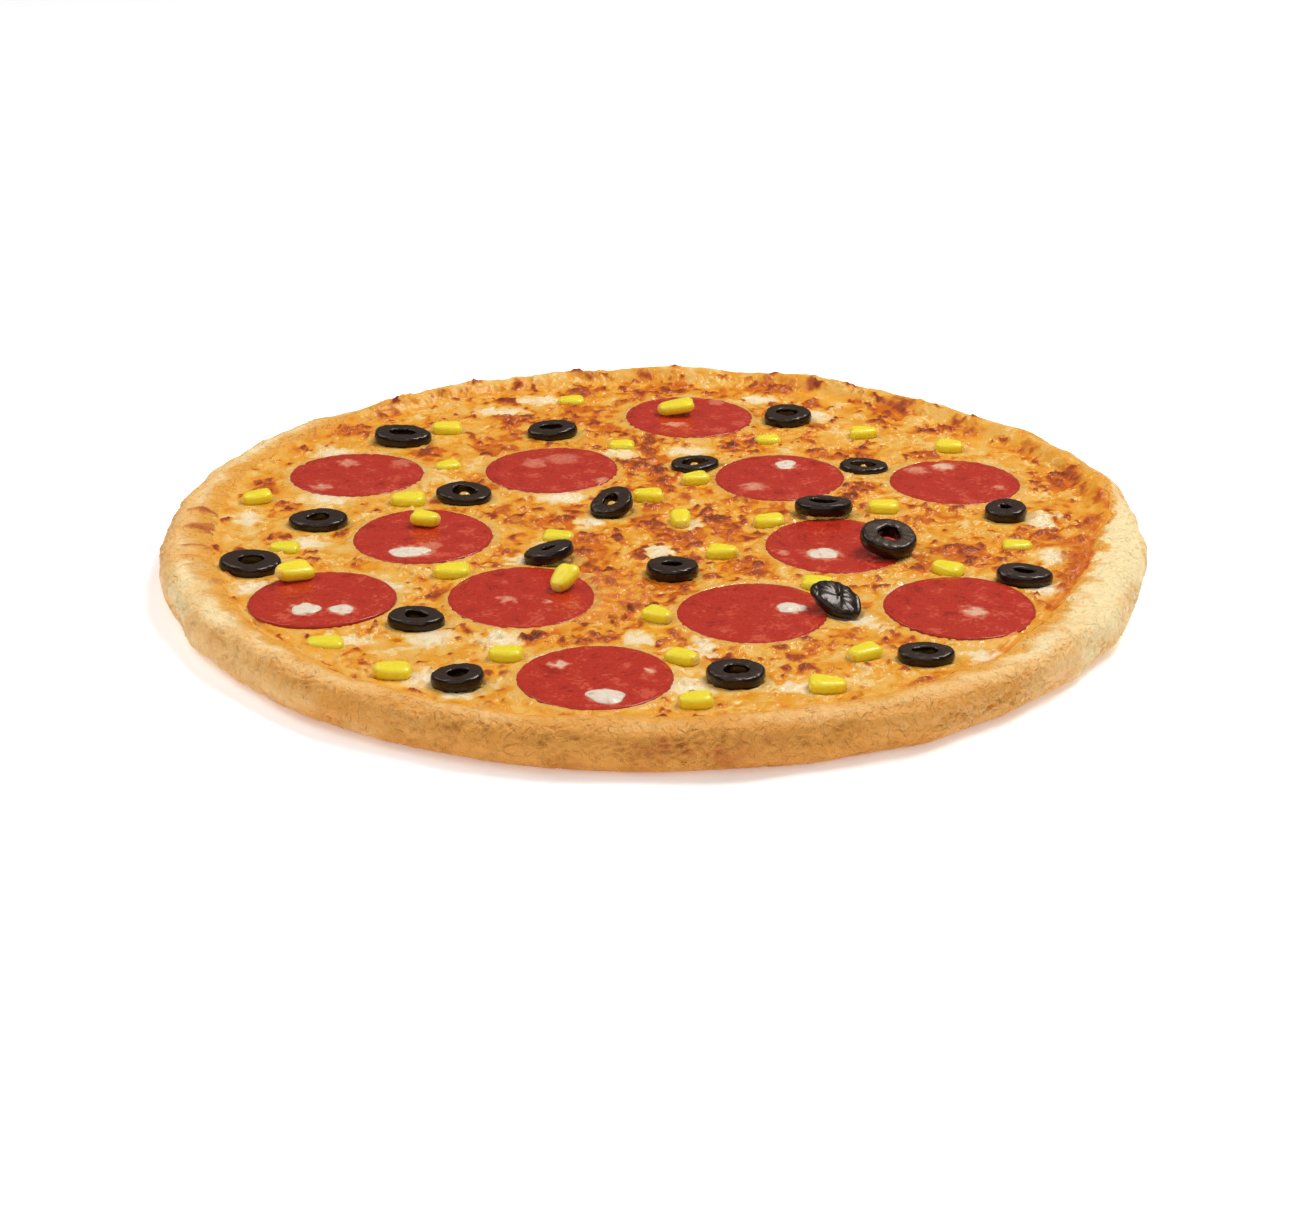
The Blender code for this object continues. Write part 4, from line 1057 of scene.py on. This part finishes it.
def kernelRings(centre, axes, half, number):
    # rings along a kernel, blunt at both ends: width (1 - |s|^3.4)^(1/2.6) times a taper towards the tip and
    # thickness (1 - |s|^5)^(1/2.4), box-like across with rounded edges, with a dent across the crown and a
    # long hollow on the upper face
    look = cornLook
    along = np.cos(np.linspace(0.05, np.pi - 0.05, look["rings"]))[:, None]
    along = np.sign(along) * np.abs(along) ** 0.7
    turn = circleAngles(look["steps"])
    c, s = np.cos(turn), np.sin(turn)
    blunt = (1 - np.abs(along) ** 3.4) ** (1 / 2.6)
    taper = 1 - 0.40 * ((1 - along) / 2) ** 1.4
    power = look["square"]
    width = half[1] * blunt * taper * np.sign(c) * np.abs(c) ** power
    width = width * look["wider"] * (1 + 0.05 * np.sin(2.5 * along + 2.1 * number))
    thick = half[2] * (1 - np.abs(along) ** 5) ** (1 / 2.4) * np.sign(s) * np.abs(s) ** power
    thick = thick * look["thicker"]
    hollow = np.exp(-((width / half[1] / 0.32) ** 2)) * smoothStep(0.65, 0.1, np.abs(along + 0.2))
    thick = thick - 0.10 * half[2] * hollow * (s > 0)
    dent = (0.10 + 0.06 * np.sin(1.7 * number)) * half[0] * smoothStep(0.6, 1.0, along)
    dent = dent * np.exp(-((width / half[1] / 0.40) ** 2))
    skew = 0.06 * half[0] * np.sin(2.3 * number) * width / half[1]
    most = look["widest"] * half[1]
    local = np.stack([half[0] * along - dent + skew, np.clip(width, -most, most), thick], -1)
    # pale towards the tip; painted shade: a little more orange on the lower half and in the hollow of the
    # upper face
    tipAndShade = smoothStep(-0.6, -1.0, along) + 0.08 * smoothStep(0.3, -0.1, s) + 0.10 * hollow + 0 * c
    return np.concatenate([centre + local @ axes, tipAndShade[..., None]], -1)


def makeCorn():
    # each kernel on its solid's axes, its crown at the wider end; the sunk ones lie flat in the cheese
    material = paintedMaterial("cooked_sweetcorn", cornFinish)
    for number, name in enumerate(kernelNames, 1):
        centre, axes, half = axesOf[name]
        local = (nodePoints(name) - centre) @ axes.T
        if np.abs(local[local[:, 0] > 0, 1]).mean() < np.abs(local[local[:, 0] < 0, 1]).mean():
            axes = axes * np.array([[-1], [-1], [1]])
        patch = ringPatch(kernelRings(centre, axes, half, number))
        makePiece(name.replace("corn", "corn_kernel"), [patch], ("tipAndShade",), material, "corn", name)
    patches = []
    for number, (x, y, length, heading) in enumerate(sunkKernels):
        c, s = math.cos(math.radians(heading)), math.sin(math.radians(heading))
        axes = np.array([[c, s, 0], [-s, c, 0], [0, 0, 1]])
        half = np.array([length / 2, cornLook["sunkWidth"] * length, cornLook["sunkThick"]])
        patches.append(ringPatch(kernelRings(np.array([x, y, cornLook["sunk"]]), axes, half, number)))
    makePiece("corn_sunk", patches, ("tipAndShade",), material, "corn", "cheese")


makeCorn()
print("stage: corn")

# Floor and light: a pale sweep and soft lamps, the strongest from behind on the right
stageLook = {
    "floor": "#FFFFFF", "roughness": 0.9, "glow": 0.25, "side": 4, "back": 6, "height": -0.0002,
    "world": 0.14,
}
# Lamps: name, place in metres, size, power in watts
lamps = (
    ("key", (0.55, 0.35, 1.15), 0.55, 12.5),
    ("fill", (-0.8, 0.25, 1.0), 0.8, 5.5),
    ("front", (-0.2, -0.9, 1.05), 1.6, 6.4),
)
floorMesh = bpy.data.meshes.new("floor")
side, back, height = stageLook["side"], stageLook["back"], stageLook["height"]
corners = [(-side, -side, height), (side, -side, height), (side, back, height), (-side, back, height)]
floorMesh.from_pydata(corners, [], [(0, 1, 2, 3)])
floor = bpy.data.objects.new("floor", floorMesh)
bpy.context.scene.collection.objects.link(floor)
floorMaterial = bpy.data.materials.new("white_sweep")
floorMaterial.use_nodes = True
floorInputs = floorMaterial.node_tree.nodes["Principled BSDF"].inputs
for socket in ("Base Color", "Emission Color"):
    floorInputs[socket].default_value = hexToLinear(stageLook["floor"])
floorInputs["Roughness"].default_value = stageLook["roughness"]
floorInputs["Emission Strength"].default_value = stageLook["glow"]
floorMesh.materials.append(floorMaterial)
world = bpy.data.worlds.new("studio")
world.use_nodes = True
world.node_tree.nodes["Background"].inputs["Color"].default_value = (1, 1, 1, 1)
world.node_tree.nodes["Background"].inputs["Strength"].default_value = stageLook["world"]
bpy.context.scene.world = world


def softLamp(name, place, size, power):
    # a square area lamp that looks at the pizza's middle
    lamp = bpy.data.objects.new(name, bpy.data.lights.new(name, "AREA"))
    lamp.data.energy, lamp.data.size = power, size
    bpy.context.scene.collection.objects.link(lamp)
    x, y, z = place
    lamp.location = place
    lamp.rotation_euler = (math.atan2(math.hypot(x, y), z), 0, math.atan2(x, -y))


for lampSettings in lamps:
    softLamp(*lampSettings)
print("stage: light")
